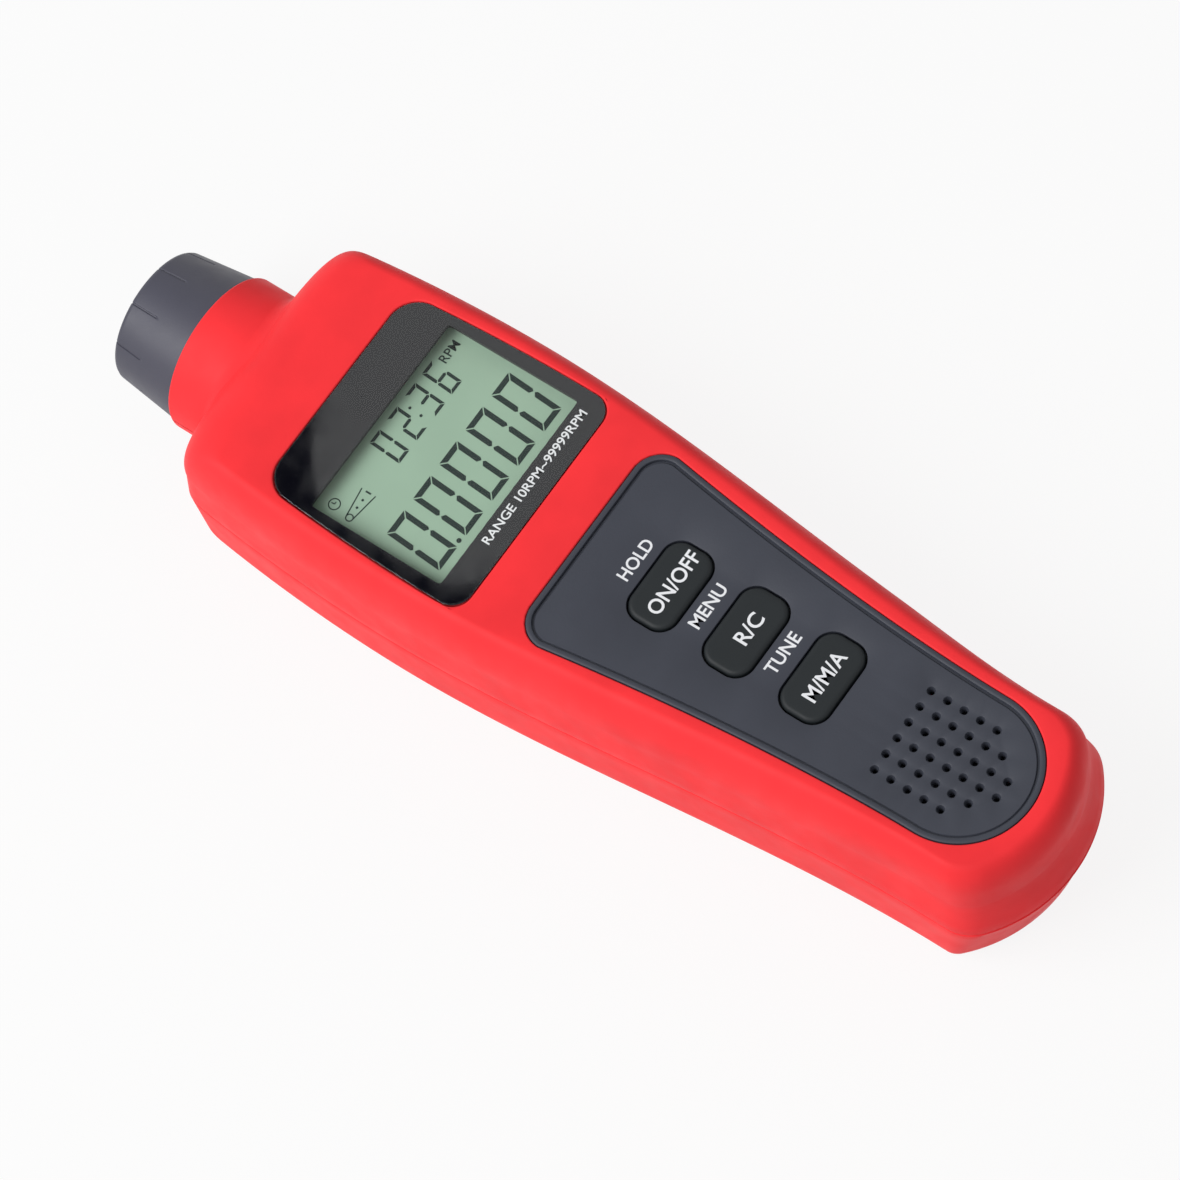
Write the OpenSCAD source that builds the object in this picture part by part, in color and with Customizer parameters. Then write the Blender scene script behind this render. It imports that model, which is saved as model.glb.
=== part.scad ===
// Handheld laser tachometer: a two-part moulded case with a tapered optics barrel, a display window,
// a three-key panel with a sounder grille, and a battery tray in its back.
// Millimetres, +Z up out of the display, +Y towards the barrel, resting on its flat back.

/* [Case] */
// Length of the case from its rear end to its front face
case_l = 157.6; // [154:0.1:175]
// Height of the case from its back to its face
case_h = 34; // [33:0.5:40]
// Height of the parting line and of the barrel's axis above the back
parting_z = 16.5; // [16:0.5:18]
// Greatest width of the head
head_w = 51.6; // [51:0.2:60]
// Width of the head at its front shoulders
shoulder_w = 47.8; // [47:0.2:54]
// Width of the handle at its rear end
handle_w = 36.8; // [36:0.2:42]
// Distance from the front face back to the widest place of the head
widest_back = 42.6; // [36:0.2:52]
// Distance from the rear end to where the sides begin to widen
rear_round = 15; // [11:0.5:16]
// Radius of the rear end's arc, seen from above
tail_r = 24.5; // [20.5:0.5:26]
// Radius of the rear end's corners, seen from above
tail_corner_r = 3.5; // [3:0.5:6]
// Lean of the lower rear end between the parting line and the back
tail_rake = 4.2; // [2:0.1:5]
// Height of the rounding between the face and the rear end
tail_round = 5.5; // [4:0.5:8]
// Length of the rounded shoulders, seen from above
shoulder_round = 8.5; // [8:0.5:14]
// Inset of the flat face from the sides
face_side = 4.6; // [3:0.1:5]
// Inset of the flat face from the rear end
face_rear = 4.2; // [2.5:0.1:4.5]
// Inset of the flat face from the front
face_front = 9.9; // [4:0.1:10.5]
// Height of the rounding between the face and the sides
face_round = 10; // [6:0.5:12]
// Lean of the upper sides below that rounding
side_lean = 0.6; // [0.2:0.1:1]
// Lean of the upper front below that rounding
front_lean = 1.2; // [0.4:0.1:2]
// Lean of the upper rear end below its rounding
rear_lean = 1.3; // [0.2:0.1:1.6]
// Inset of the flat back from the sides and ends
back_inset = 3.2; // [2:0.1:5]
// Height of the rounding between the back and the sides
back_round = 5.5; // [3:0.5:8]
// Thickness of the side walls
wall = 2; // [1.6:0.1:2.6]
// Thickness of the face wall
face_wall = 2.8; // [2.6:0.1:3.4]
// Thickness of the back wall
back_wall = 2; // [1.6:0.1:2.6]
// Thickness of the front wall round the barrel
front_wall = 5; // [4:0.1:6]

/* [Barrel and optics] */
// Length of the collar in front of the case
collar_out = 6.7; // [5:0.1:9]
// Outer radius of the collar
collar_r = 13.7; // [13.6:0.1:14.4]
// Radius of the collar's rounded front edge
collar_edge = 0.5; // [0.3:0.1:0.8]
// Length of the barrel in front of the collar
barrel_out = 13.8; // [12:0.1:20]
// Radius of the barrel's neck inside the collar
barrel_neck_r = 12.2; // [11.8:0.1:12.4]
// Radius of the barrel in front of the collar
barrel_r = 13.1; // [12.6:0.1:13.4]
// Radius of the barrel's front edge
barrel_tip_r = 11.6; // [11.2:0.1:12.4]
// Radius of the barrel's bore round the optics
barrel_bore_r = 10.4; // [10.2:0.1:10.8]
// Length of the grooves at the barrel's front edge
groove_l = 6; // [3:0.5:9]
// Number of grooves round the barrel
groove_count = 10; // [6:1:16]
// Radius of the front lens
lens_r = 9.7; // [9.2:0.1:9.9]
// Thickness of the front lens
lens_t = 1.5; // [1:0.1:2]
// Width of the ring that retains the front lens
retainer_w = 1.1; // [0.8:0.1:2]
// Thickness of the ring that retains the front lens
retainer_t = 1.2; // [0.8:0.1:1.6]
// Diameter of the laser module
laser_d = 8; // [6:0.5:9]
// Length of the laser module
laser_l = 15; // [12:0.5:16]
// Diameter of the photodiode
diode_d = 5; // [4:0.5:6]
// Diameter of the receiver lens
receiver_d = 9; // [7:0.5:9.5]
// Distance of the laser and of the receiver from the barrel's axis
optics_off = 5.2; // [5:0.1:5.4]

/* [Display] */
// Length of the display window
window_l = 39.5; // [39:0.5:42]
// Distance from the window's rear end to the head's widest sides
window_side = 5.1; // [4.9:0.1:5.6]
// Distance from the window's front end to the shoulders' sides
window_front_side = 4.3; // [4:0.1:5]
// Thickness of the display window
window_t = 1.5; // [1:0.1:1.6]
// Distance from the front face back to the window
window_front_gap = 19.8; // [18:0.2:21]
// Length of the glass panel along the case
lcd_l = 27; // [26:0.2:28]
// Distance from the glass panel's sides to the window's sides
lcd_side = 1.5; // [1.4:0.1:2.2]
// Thickness of the glass panel
lcd_t = 2.2; // [1.6:0.1:2.6]
// Width of the shell's ledge that covers the edge of the glass
lcd_ledge = 0.7; // [0.5:0.1:1]
// Thickness of the frame round the glass
lcd_frame_w = 1.1; // [0.8:0.1:1.3]

/* [Keys] */
// Gap between the window and the key panel
panel_gap = 8.8; // [8.4:0.2:11]
// Gap between the key panel and the case's rear end
panel_rear_gap = 6.3; // [6:0.1:9]
// Width of the key panel at its front end
panel_front_w = 38.6; // [36:0.2:40]
// Radius of the key panel's round rear end
panel_end_r = 12.7; // [12.2:0.1:13]
// Thickness of the key panel at its rim
panel_t = 2; // [1.8:0.1:2.2]
// Width of the panel's raised rim
panel_rim = 1.3; // [1:0.1:1.5]
// Depth of the panel's plate below the rim
panel_sunk = 0.9; // [0.5:0.1:1]
// Distance of the middle key behind the middle of the space between the sounder and the panel's front edge
key_back = 1.45; // [0:0.05:3]
// Distance between keys
key_pitch = 14.25; // [13:0.05:15]
// Length of a key across the case
key_l = 15.4; // [14:0.2:18]
// Width of a key along the case
key_w = 8.5; // [7:0.1:9]
// Height of a key above the panel's plate
key_up = 1; // [0.6:0.1:1.6]
// Travel of a key
key_travel = 0.5; // [0.3:0.05:0.6]
// Distance between grille holes
grille_pitch = 3; // [2.4:0.1:3]
// Diameter of a grille hole
grille_d = 1.4; // [1:0.1:1.6]
// Distance from the panel's rear end to the last row of grille holes
grille_rear = 5.3; // [5:0.1:6]
// Diameter of the sounder
buzzer_d = 18.8; // [16:0.2:19]
// Height of the sounder
buzzer_h = 4.2; // [3:0.1:5]

/* [Board and batteries] */
// Thickness of the main board
board_t = 1.6; // [1:0.1:2]
// Depth of the main board's upper side below the face
board_depth = 8.4; // [8.2:0.1:9]
// Gap between the main board and the case's sides
board_margin = 4; // [3.6:0.1:5]
// Diameter of a battery cell
cell_d = 10.5; // [10:0.1:10.6]
// Length of a battery cell
cell_l = 44.5; // [44:0.1:45]
// Length of a fitted battery spring
spring_l = 5; // [4:0.5:7]
// Distance from the case's rear end to the battery tray
tray_rear_gap = 18; // [17.6:0.2:20]
// Thickness of the battery tray's walls
tray_wall = 2.4; // [2:0.1:3]
// Thickness of the battery door
door_t = 1.6; // [1.2:0.1:2]

/* [Fits] */
// Gap round pieces that drop into a seat
fit = 0.1; // [0.05:0.05:0.2]
// Gap round pieces that slide
slide_fit = 0.3; // [0.25:0.05:0.4]

/* [Hidden] */
$fn = 48;

red = [0.93, 0.10, 0.12];
charcoal = [0.22, 0.23, 0.26];
black = [0.10, 0.11, 0.12];
cut = 1;

// Places along the case
total_l = case_l + collar_out + barrel_out;
rear_y = -total_l / 2;
front_y = rear_y + case_l;
collar_y = front_y + collar_out;
tip_y = collar_y + barrel_out;
handle_y = rear_y + rear_round;
shoulder_y = front_y - shoulder_round;
widest_y = front_y - widest_back;
window_y1 = front_y - window_front_gap;
window_y0 = window_y1 - window_l;
window_w = head_w - 2 * window_side;
window_front_w = shoulder_w - 2 * window_front_side;
lcd_w = window_w - 2 * lcd_side;
lcd_back = 1.35;
lcd_y = (window_y0 + window_y1) / 2 - lcd_back;
panel_y1 = window_y0 - panel_gap;
panel_y0 = rear_y + panel_rear_gap;
panel_end_y = panel_y0 + panel_end_r;
panel_ledge = 1.6;
grille_counts = [7, 6, 5];
grille_l = (grille_counts[0] - 1) * grille_pitch;
buzzer_y = panel_y0 + grille_rear + grille_l / 2;
socket_d = buzzer_d + 2 * fit;
socket_wall = 1.2;
socket_y1 = buzzer_y + socket_d / 2 + socket_wall;
key_y = [for (i = [1:-1:-1]) (socket_y1 + panel_y1) / 2 - key_back + i * key_pitch];

// Heights
face_in_z = case_h - face_wall;
panel_z = case_h - panel_t;
plate_z = case_h - panel_sunk;
board_z = case_h - board_depth;
switch_h = 3.5;
plunger_up = 1;
switch_floor = 0.7;
plunger_z = board_z + switch_h + plunger_up;
flange_t = 1;
flange_z = panel_z - fit;

// Battery tray
plate_t = 0.4;
column_x = cell_d / 2 + 0.35;
cell_gap = 0.3;
cell_z = door_t + fit + cell_gap + cell_d / 2;
tray_in_z = cell_z + cell_d / 2 + cell_gap;
tray_w = 2 * (column_x + cell_d / 2 + cell_gap);
cell_play = 0.1;
tray_l = 2 * cell_l + cell_play + spring_l + 2 * plate_t;
tray_y0 = rear_y + tray_rear_gap;
tray_top = tray_in_z + 1.5;
door_lap = 1.4;
tongue_w = 9;
tongue_l = 7;
door_screw_y = tray_y0 - 4.6;

// Screws
screw_d = 2.4;
screw_hole_d = screw_d + 2 * fit;
head_d = 4.6;
head_h = 1.8;
post_d = 6.4;
head_seat = 5;
head_screw_in = [7.4, 10.5];
tail_screw_in = [8.6, 9.9];
case_screw_xy = [[head_w / 2 - head_screw_in[0], front_y - head_screw_in[1]],
  [handle_w / 2 - tail_screw_in[0], rear_y + tail_screw_in[1]]];
board_screw_in = [10.9, 11.9];
board_screw_gap = 4.6;
board_screw_xy = [[head_w / 2 - board_screw_in[0], window_y1 + board_screw_gap],
  [head_w / 2 - board_screw_in[1], (window_y0 + panel_y1) / 2]];
screw_bite = 8;

// Half width of the case at its parting line: an S curve up the handle, then a parabola to the shoulders
function s_curve(u) = let (v = max(0, min(1, u))) v * v * (3 - 2 * v);
function half_w(y) = y < widest_y
  ? handle_w / 2 + (head_w - handle_w) / 2 * s_curve((y - handle_y) / (widest_y - handle_y))
  : head_w / 2 - (head_w - shoulder_w) / 2 * pow((y - widest_y) / (shoulder_y - widest_y), 2);

// Rear end: an arc across the axis, then a corner that meets the side
arc_steps = 5;
corner_steps = 4;
function tail_half(side, rear) =
  let (w = half_w(handle_y) - side, big = tail_r - side, small = max(1, tail_corner_r - side),
    turn = asin((w - small) / (big - small)), cy = rear_y + rear + big)
  concat([for (i = [0:arc_steps]) let (a = turn * i / arc_steps) [big * sin(a), cy - big * cos(a)]],
    [for (i = [1:corner_steps]) let (a = turn + (90 - turn) * i / corner_steps)
      [w - small + small * sin(a), cy - (big - small) * cos(turn) - small * cos(a)]]);

// One closed ring of the case at height z, inset from the outline at the parting line
side_steps = 15;
front_steps = 10;
shoulder_power = 2 / 4.4;
shoulder_share = 0.6;
shoulder_slope = (head_w - shoulder_w) / (shoulder_y - widest_y);
function ring_half(side, rear, front) =
  let (y1 = shoulder_y - shoulder_share * front, reach = shoulder_round - (1 - shoulder_share) * front)
  concat(tail_half(side, rear),
    [for (i = [1:side_steps - 1]) let (y = handle_y + (y1 - handle_y) * i / side_steps)
      [half_w(y) - side, y]],
    [for (i = [0:front_steps])
      let (a = 90 * (1 - i / front_steps), out = reach * pow(cos(a), shoulder_power))
      [(half_w(y1) - side - shoulder_slope * out) * pow(sin(a), shoulder_power), y1 + out]]);
function ring(side, rear, front, z) = let (h = ring_half(side, rear, front), n = len(h)) concat(
  [for (p = h) [p[0], p[1], z]],
  [for (i = [n - 2:-1:1]) [-h[i][0], h[i][1], z]]);

// Solid skinned over closed rings, lowest ring first
module loft(rings) {
  n = len(rings[0]);
  m = len(rings);
  polyhedron(
    points = [for (r = rings) each r],
    faces = concat(
      [[for (i = [0:n - 1]) i]],
      [[for (i = [n - 1:-1:0]) (m - 1) * n + i]],
      [for (j = [0:m - 2], i = [0:n - 1]) [j * n + i, (j + 1) * n + i, (j + 1) * n + (i + 1) % n]],
      [for (j = [0:m - 2], i = [0:n - 1]) [j * n + i, (j + 1) * n + (i + 1) % n, j * n + (i + 1) % n]]));
}

// Outer and inner forms of the shells: quarter ellipses roll the sides over into the face and the back,
// a shorter one rolls the rear end into the face, and the lower rear end leans in towards the back
round_steps = 7;
back_lean = 0.2;
function rolled(lean, inset, k, steps) = lean + (inset - lean) * (1 - cos(90 * k / steps));
function rise(k, steps) = 1 - sin(90 * k / steps);
function tail_top(drop) = rear_lean
  + (face_rear - rear_lean) * (1 - sqrt(1 - pow(max(0, 1 - drop / tail_round), 2)));
function tail_low(z) = tail_rake * (parting_z - z) / parting_z;
module upper_outside() {
  loft(concat(
    [ring(0, 0, 0, parting_z)],
    [for (k = [0:round_steps]) let (drop = face_round * rise(k, round_steps))
      ring(rolled(side_lean, face_side, k, round_steps), tail_top(drop),
        rolled(front_lean, face_front, k, round_steps), case_h - drop)]));
}
module lower_outside() {
  loft(concat(
    [for (k = [round_steps:-1:0])
      let (e = rolled(back_lean, back_inset, k, round_steps), z = back_round * rise(k, round_steps))
      ring(e, e + tail_low(z), e, z)],
    [ring(0, 0, 0, parting_z)]));
}
inner_steps = 4;
inner_share = 0.5;
module upper_inside() {
  loft(concat(
    [ring(wall, wall, front_wall, parting_z - cut)],
    [for (k = [0:inner_steps]) let (drop = face_round * rise(k, inner_steps))
      ring(wall + inner_share * rolled(side_lean, face_side, k, inner_steps), wall + tail_top(drop),
        front_wall + inner_share * rolled(front_lean, face_front, k, inner_steps), face_in_z - drop)]));
}
module lower_inside() {
  loft(concat(
    [for (k = [inner_steps:-1:0])
      let (e = inner_share * rolled(back_lean, back_inset, k, inner_steps),
        z = back_wall + back_round * rise(k, inner_steps))
      ring(wall + e, wall + e + tail_low(z), front_wall + e, z)],
    [ring(wall, wall, front_wall, parting_z + cut)]));
}

// Turned forms on the barrel's axis, from profile points of radius and place along the case
module turned(points, from = 0, sweep = 360) {
  translate([0, 0, parting_z]) rotate([-90, 0, 0]) rotate([0, 0, from])
    rotate_extrude(angle = sweep) polygon(points);
}
function arc(cx, cy, r, a0, a1, n) = [for (i = [0:n])
  let (a = a0 + (a1 - a0) * i / n) [cx + r * cos(a), cy + r * sin(a)]];
flange_r = barrel_neck_r + 0.9;
flange_y1 = front_y - front_wall - fit;
flange_y0 = flange_y1 - 2;
module collar_half(from) {
  turned(concat([[0, front_y - front_wall], [collar_r, front_y - front_wall]],
    arc(collar_r - collar_edge, collar_y - collar_edge, collar_edge, 0, 90, 6), [[0, collar_y]]), from, 180);
}
module barrel_seat() {
  turned([[0, flange_y0 - cut], [barrel_neck_r + fit, flange_y0 - cut],
    [barrel_neck_r + fit, collar_y + cut], [0, collar_y + cut]]);
  turned([[0, flange_y0 - fit], [flange_r + fit, flange_y0 - fit], [flange_r + fit, flange_y1 + fit],
    [0, flange_y1 + fit]]);
}

// Flat outlines
module slab(points, z0, z1) { translate([0, 0, z0]) linear_extrude(z1 - z0) polygon(points); }
module box(size, centre, z0, z1) {
  translate([centre[0] - size[0] / 2, centre[1] - size[1] / 2, z0]) cube([size[0], size[1], z1 - z0]);
}
function mirrored(h) = concat(h, [for (i = [len(h) - 1:-1:0]) [-h[i][0], h[i][1]]]);
function bend(a, b, c, n) = [for (i = [1:n - 1]) let (t = i / n)
  (1 - t) * (1 - t) * a + 2 * t * (1 - t) * b + t * t * c];
window_rear_r = 3.5;
window_front_r = 5;
function window_outline(grow) =
  let (w0 = window_w / 2 + grow, w1 = window_front_w / 2 + grow,
    y0 = window_y0 - grow, y1 = window_y1 + grow,
    a = [w0, y0 + window_rear_r], c = [w1, y1 - window_front_r])
  mirrored(concat(arc(w0 - window_rear_r, y0 + window_rear_r, window_rear_r, -90, 0, 8),
    bend(a, [w0 + 0.1, (a[1] + c[1]) / 2], c, 8),
    arc(w1 - window_front_r, y1 - window_front_r, window_front_r, 0, 80, 8)));
panel_corner_r = 5;
panel_power = 1.7;
function panel_side(y) = panel_end_r + (panel_front_w / 2 - panel_end_r)
  * pow((y - panel_end_y) / (panel_y1 - panel_end_y), panel_power);
function panel_outline(grow) =
  let (r = panel_corner_r + grow, cy = panel_y1 - panel_corner_r, cx = panel_side(cy) - panel_corner_r)
  mirrored(concat(arc(0, panel_end_y, panel_end_r + grow, -88, 0, 14),
    [for (i = [1:9]) let (y = panel_end_y + (cy - panel_end_y) * i / 10) [panel_side(y) + grow, y]],
    arc(cx, cy, r, 0, 90, 8)));
function round_rect(w, l, r) = concat(
  arc(w / 2 - r, l / 2 - r, r, 0, 90, 8), arc(r - w / 2, l / 2 - r, r, 90, 180, 8),
  arc(r - w / 2, r - l / 2, r, 180, 270, 8), arc(w / 2 - r, r - l / 2, r, 270, 360, 8));

module at_pairs(places) {
  for (p = places, s = [-1, 1]) translate([s * p[0], p[1], 0]) children();
}
module post(d, z0, z1) { translate([0, 0, z0]) cylinder(d = d, h = z1 - z0); }

module upper_shell() {
  color(red) difference() {
    union() {
      difference() {
        union() {
          upper_outside();
          collar_half(180);
        }
        upper_inside();
      }
      at_pairs(case_screw_xy) post(post_d, parting_z, face_in_z + fit);
      at_pairs(board_screw_xy) post(post_d, board_z, face_in_z + fit);
    }
    barrel_seat();
    slab(window_outline(fit), case_h - window_t, case_h + cut);
    box([lcd_w - 2 * lcd_ledge, lcd_l - 2 * lcd_ledge], [0, lcd_y], face_in_z - cut, case_h);
    slab(panel_outline(fit), panel_z, case_h + cut);
    slab(panel_outline(-panel_ledge), face_in_z - cut, case_h);
    at_pairs(case_screw_xy) post(screw_hole_d, parting_z - cut, parting_z + screw_bite);
    at_pairs(board_screw_xy) post(screw_hole_d, board_z - cut, face_in_z);
  }
}

module lower_shell() {
  post_z = board_z - board_t;
  color(red) difference() {
    union() {
      difference() {
        union() {
          lower_outside();
          collar_half(0);
        }
        lower_inside();
      }
      intersection() {
        lower_outside();
        at_pairs(case_screw_xy) post(post_d, back_wall / 2, parting_z);
      }
      box([tray_w + 2 * tray_wall, tray_l + 2 * tray_wall], [0, tray_y0 + tray_l / 2],
        back_wall / 2, tray_top);
      translate([0, door_screw_y, 0]) post(post_d - 0.8, back_wall / 2, tray_top);
      at_pairs([[column_x, key_y[2]], [column_x, key_y[0]]]) post(4, tray_top - cut, post_z);
    }
    barrel_seat();
    box([tray_w, tray_l], [0, tray_y0 + tray_l / 2], -cut, tray_in_z);
    door_outline(fit, -cut, door_t + fit);
    translate([0, door_screw_y, 0]) post(screw_hole_d, 0, tray_top - 2);
    at_pairs(case_screw_xy) post(screw_hole_d, 0, parting_z + cut);
    at_pairs(case_screw_xy) post(head_d + 4 * fit, -cut, head_seat);
  }
}

module door_outline(grow, z0, z1) {
  w = tray_w + 2 * door_lap + 2 * grow;
  l = tray_l + 2 * door_lap + 2 * grow;
  tongue = tongue_l + door_lap;
  box([w, l], [0, tray_y0 + tray_l / 2], z0, z1);
  box([tongue_w + 2 * grow, tongue + 2 * grow], [0, tray_y0 - tongue / 2], z0, z1);
}

door_head_d = 4;
door_head_h = 0.9;
module battery_door() {
  color(red) difference() {
    door_outline(0, 0, door_t);
    translate([0, door_screw_y, 0]) {
      post(screw_hole_d, -cut, door_t + cut);
      post(door_head_d + 2 * fit, -cut, door_head_h);
    }
  }
}

module door_screw() {
  color("silver") translate([0, door_screw_y, 0]) {
    post(door_head_d, 0.1, door_head_h);
    post(screw_d, door_head_h - 0.1, tray_top - 3);
  }
}

module case_screws() {
  color("silver") at_pairs(case_screw_xy) difference() {
    union() {
      post(head_d, head_seat - head_h, head_seat);
      post(screw_d, head_seat - 0.1, parting_z + screw_bite - 1);
    }
    for (a = [0, 90]) rotate([0, 0, a]) box([2.6, 0.6], [0, 0], 0, head_seat - head_h + 0.9);
  }
}

// Bore of the barrel: optics from the rear, a shoulder for the lens, the lens and its ring in the mouth
shoulder_in = 0.8;
ring_y1 = tip_y - 1.2;
lens_y1 = ring_y1 - retainer_t;
lens_y0 = lens_y1 - lens_t;
lens_space = 6;
holder_y1 = lens_y0 - lens_space;
tip_edge = 0.5;
module barrel() {
  groove_w = 0.5;
  groove_depth = 0.35;
  taper = atan((barrel_r - barrel_tip_r) / barrel_out);
  color(black) difference() {
    turned(concat(
      [[barrel_bore_r, flange_y0], [flange_r, flange_y0], [flange_r, flange_y1],
       [barrel_neck_r, flange_y1], [barrel_neck_r, collar_y + fit], [barrel_r, collar_y + fit]],
      arc(barrel_tip_r - tip_edge, tip_y - tip_edge, tip_edge, 0, 90, 4),
      [[lens_r + fit, tip_y], [lens_r + fit, lens_y0], [lens_r - shoulder_in, lens_y0],
       [lens_r - shoulder_in, holder_y1 + 0.5], [barrel_bore_r, holder_y1 + 0.5]]));
    for (i = [0:groove_count - 1])
      translate([0, tip_y, parting_z]) rotate([0, (i + 0.5) * 360 / groove_count, 0])
        translate([-groove_w / 2, 0, barrel_tip_r - groove_depth]) rotate([-taper, 0, 0])
          translate([0, -groove_l, 0]) cube([groove_w, groove_l + cut, groove_depth + cut]);
  }
}

module front_lens() {
  color([0.75, 0.80, 0.82, 0.4]) turned([[0, lens_y0], [lens_r, lens_y0], [lens_r, lens_y1], [0, lens_y1]]);
}

module lens_retainer() {
  bevel = 0.4;
  color(black) turned([[lens_r - retainer_w, lens_y1], [lens_r, lens_y1], [lens_r, ring_y1],
    [lens_r - retainer_w + bevel, ring_y1], [lens_r - retainer_w, ring_y1 - bevel]]);
}

module along_y(x, z, y) { translate([x, y, z]) rotate([-90, 0, 0]) children(); }
laser_z = parting_z + optics_off;
diode_z = parting_z - optics_off;
holder_y0 = flange_y0 - 1.6;
receiver_t = 2.4;
receiver_rim = 1.2;
diode_l = 8.6;
sensor_t = 1.2;
module optics_holder() {
  through = holder_y1 - holder_y0 + 2 * cut;
  color(black) difference() {
    turned([[0, holder_y0], [barrel_bore_r - fit, holder_y0],
      [barrel_bore_r - fit, holder_y1], [0, holder_y1]]);
    along_y(0, laser_z, holder_y0 - cut) cylinder(d = laser_d + 2 * fit, h = through);
    along_y(0, diode_z, holder_y0 - cut) cylinder(d = diode_d + 2 * fit, h = through);
    along_y(0, diode_z, holder_y1 - receiver_rim) cylinder(d = receiver_d + 2 * fit, h = receiver_rim + cut);
  }
}

module laser_module() {
  aperture_d = 3;
  aperture_depth = 1.5;
  color("goldenrod") along_y(0, laser_z, holder_y0) difference() {
    cylinder(d = laser_d, h = laser_l);
    translate([0, 0, laser_l - aperture_depth]) cylinder(d = aperture_d, h = aperture_depth + cut);
  }
}

module photodiode() {
  color([0.15, 0.12, 0.2]) along_y(0, diode_z, holder_y0) rotate_extrude()
    polygon(concat([[0, 0], [diode_d / 2, 0]],
      arc(0, diode_l - diode_d / 2, diode_d / 2, 0, 90, 8)));
}

module receiver_lens() {
  dome = receiver_t - receiver_rim;
  dome_r = (pow(receiver_d / 2, 2) + dome * dome) / (2 * dome);
  dome_a = asin(receiver_d / 2 / dome_r);
  color([0.75, 0.80, 0.82, 0.4]) along_y(0, diode_z, holder_y1 - receiver_rim) rotate_extrude()
    polygon(concat([[0, 0], [receiver_d / 2, 0]], arc(0, receiver_t - dome_r, dome_r, 90 - dome_a, 90, 8)));
}

module sensor_board() {
  color("darkgreen") translate([0, 0, parting_z]) rotate([-90, 0, 0]) translate([0, 0, holder_y0 - sensor_t])
    linear_extrude(sensor_t) square(2 * barrel_bore_r - 4, center = true);
}

module display_window() {
  color([0.08, 0.08, 0.09]) slab(window_outline(0), case_h - window_t, case_h);
}

module lcd_panel() {
  color([0.60, 0.69, 0.62]) box([lcd_w, lcd_l], [0, lcd_y], face_in_z - fit - lcd_t, face_in_z - fit);
}

module lcd_frame() {
  inner = [lcd_w + 2 * fit, lcd_l + 2 * fit];
  rim = [2 * lcd_frame_w, 2 * lcd_frame_w];
  color("white") difference() {
    box(inner + rim, [0, lcd_y], board_z, face_in_z - fit);
    box(inner, [0, lcd_y], board_z - cut, face_in_z);
  }
}

zebra_w = 2;
module zebra_strips() {
  color("dimgray") for (s = [-1, 1])
    box([lcd_w - 2, zebra_w], [0, lcd_y + s * (lcd_l / 2 - zebra_w)], board_z, face_in_z - fit - lcd_t);
}

board_y0 = key_y[2] - 7.5;
board_y1 = board_screw_xy[0][1] + 3;
module main_board() {
  rows = 12;
  half = [for (i = [0:rows]) let (y = board_y0 + (board_y1 - board_y0) * i / rows)
    [half_w(y) - board_margin, y]];
  color("darkgreen") difference() {
    slab(mirrored(half), board_z - board_t, board_z);
    at_pairs(board_screw_xy) post(screw_hole_d, board_z - board_t - cut, board_z + cut);
    at_pairs(case_screw_xy) post(post_d + 2 * slide_fit, board_z - board_t - cut, board_z + cut);
  }
}

module board_screws() {
  low = board_z - board_t;
  color("silver") at_pairs(board_screw_xy) {
    post(head_d, low - head_h, low);
    post(screw_d, low - 0.1, face_in_z - cut);
  }
}

// Grille: columns of holes that start on one line across the panel and get shorter away from the middle
module grille_holes() {
  grille_y1 = panel_y0 + grille_rear + grille_l;
  for (c = [0:2], k = [0:grille_counts[c] - 1])
    at_pairs([[(c + 0.5) * grille_pitch, grille_y1 - k * grille_pitch]])
      post(grille_d, panel_z - cut, case_h);
}

key_corner_r = 3;
socket_in = 0.9;
module keypad_panel() {
  groove_w = 0.5;
  groove_depth = 0.4;
  color(charcoal) difference() {
    union() {
      slab(panel_outline(0), panel_z, case_h);
      translate([0, buzzer_y, 0]) post(socket_d + 2 * socket_wall, panel_z - buzzer_h, panel_z + fit);
    }
    slab(panel_outline(-panel_rim), plate_z, case_h + cut);
    difference() {
      slab(panel_outline(-panel_rim), plate_z - groove_depth, case_h);
      slab(panel_outline(-panel_rim - groove_w), plate_z - groove_depth - cut, case_h + cut);
    }
    translate([0, buzzer_y, 0]) {
      post(socket_d - 2 * socket_in, panel_z - buzzer_h - cut, panel_z);
      post(socket_d, panel_z - buzzer_h - cut, panel_z - socket_in);
    }
    for (y = key_y) translate([0, y, 0])
      slab(round_rect(key_l + 2 * slide_fit, key_w + 2 * slide_fit, key_corner_r + slide_fit),
        panel_z - cut, case_h);
    grille_holes();
  }
}

module key(y) {
  bevel = 0.5;
  flange = 1.1;
  top_z = plate_z + key_up;
  color(black) translate([0, y, 0]) {
    hull() {
      slab(round_rect(key_l, key_w, key_corner_r), flange_z - flange_t, top_z - bevel);
      slab(round_rect(key_l - 2 * bevel, key_w - 2 * bevel, key_corner_r - bevel),
        flange_z - flange_t, top_z);
    }
    slab(round_rect(key_l + 2 * flange, key_w + 2 * flange, key_corner_r), flange_z - flange_t, flange_z);
    post(4.5, plunger_z, flange_z - flange_t + 0.1);
  }
}
module power_key() { key(key_y[0]); }
module menu_key() { key(key_y[1]); }
module tune_key() { key(key_y[2]); }

plunger_d = 3.5;
plunger_low = board_z + switch_floor + key_travel + slide_fit;
module plunger(y) { color("dimgray") translate([0, y, 0]) post(plunger_d, plunger_low, plunger_z); }
module power_plunger() { plunger(key_y[0]); }
module menu_plunger() { plunger(key_y[1]); }
module tune_plunger() { plunger(key_y[2]); }

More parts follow.
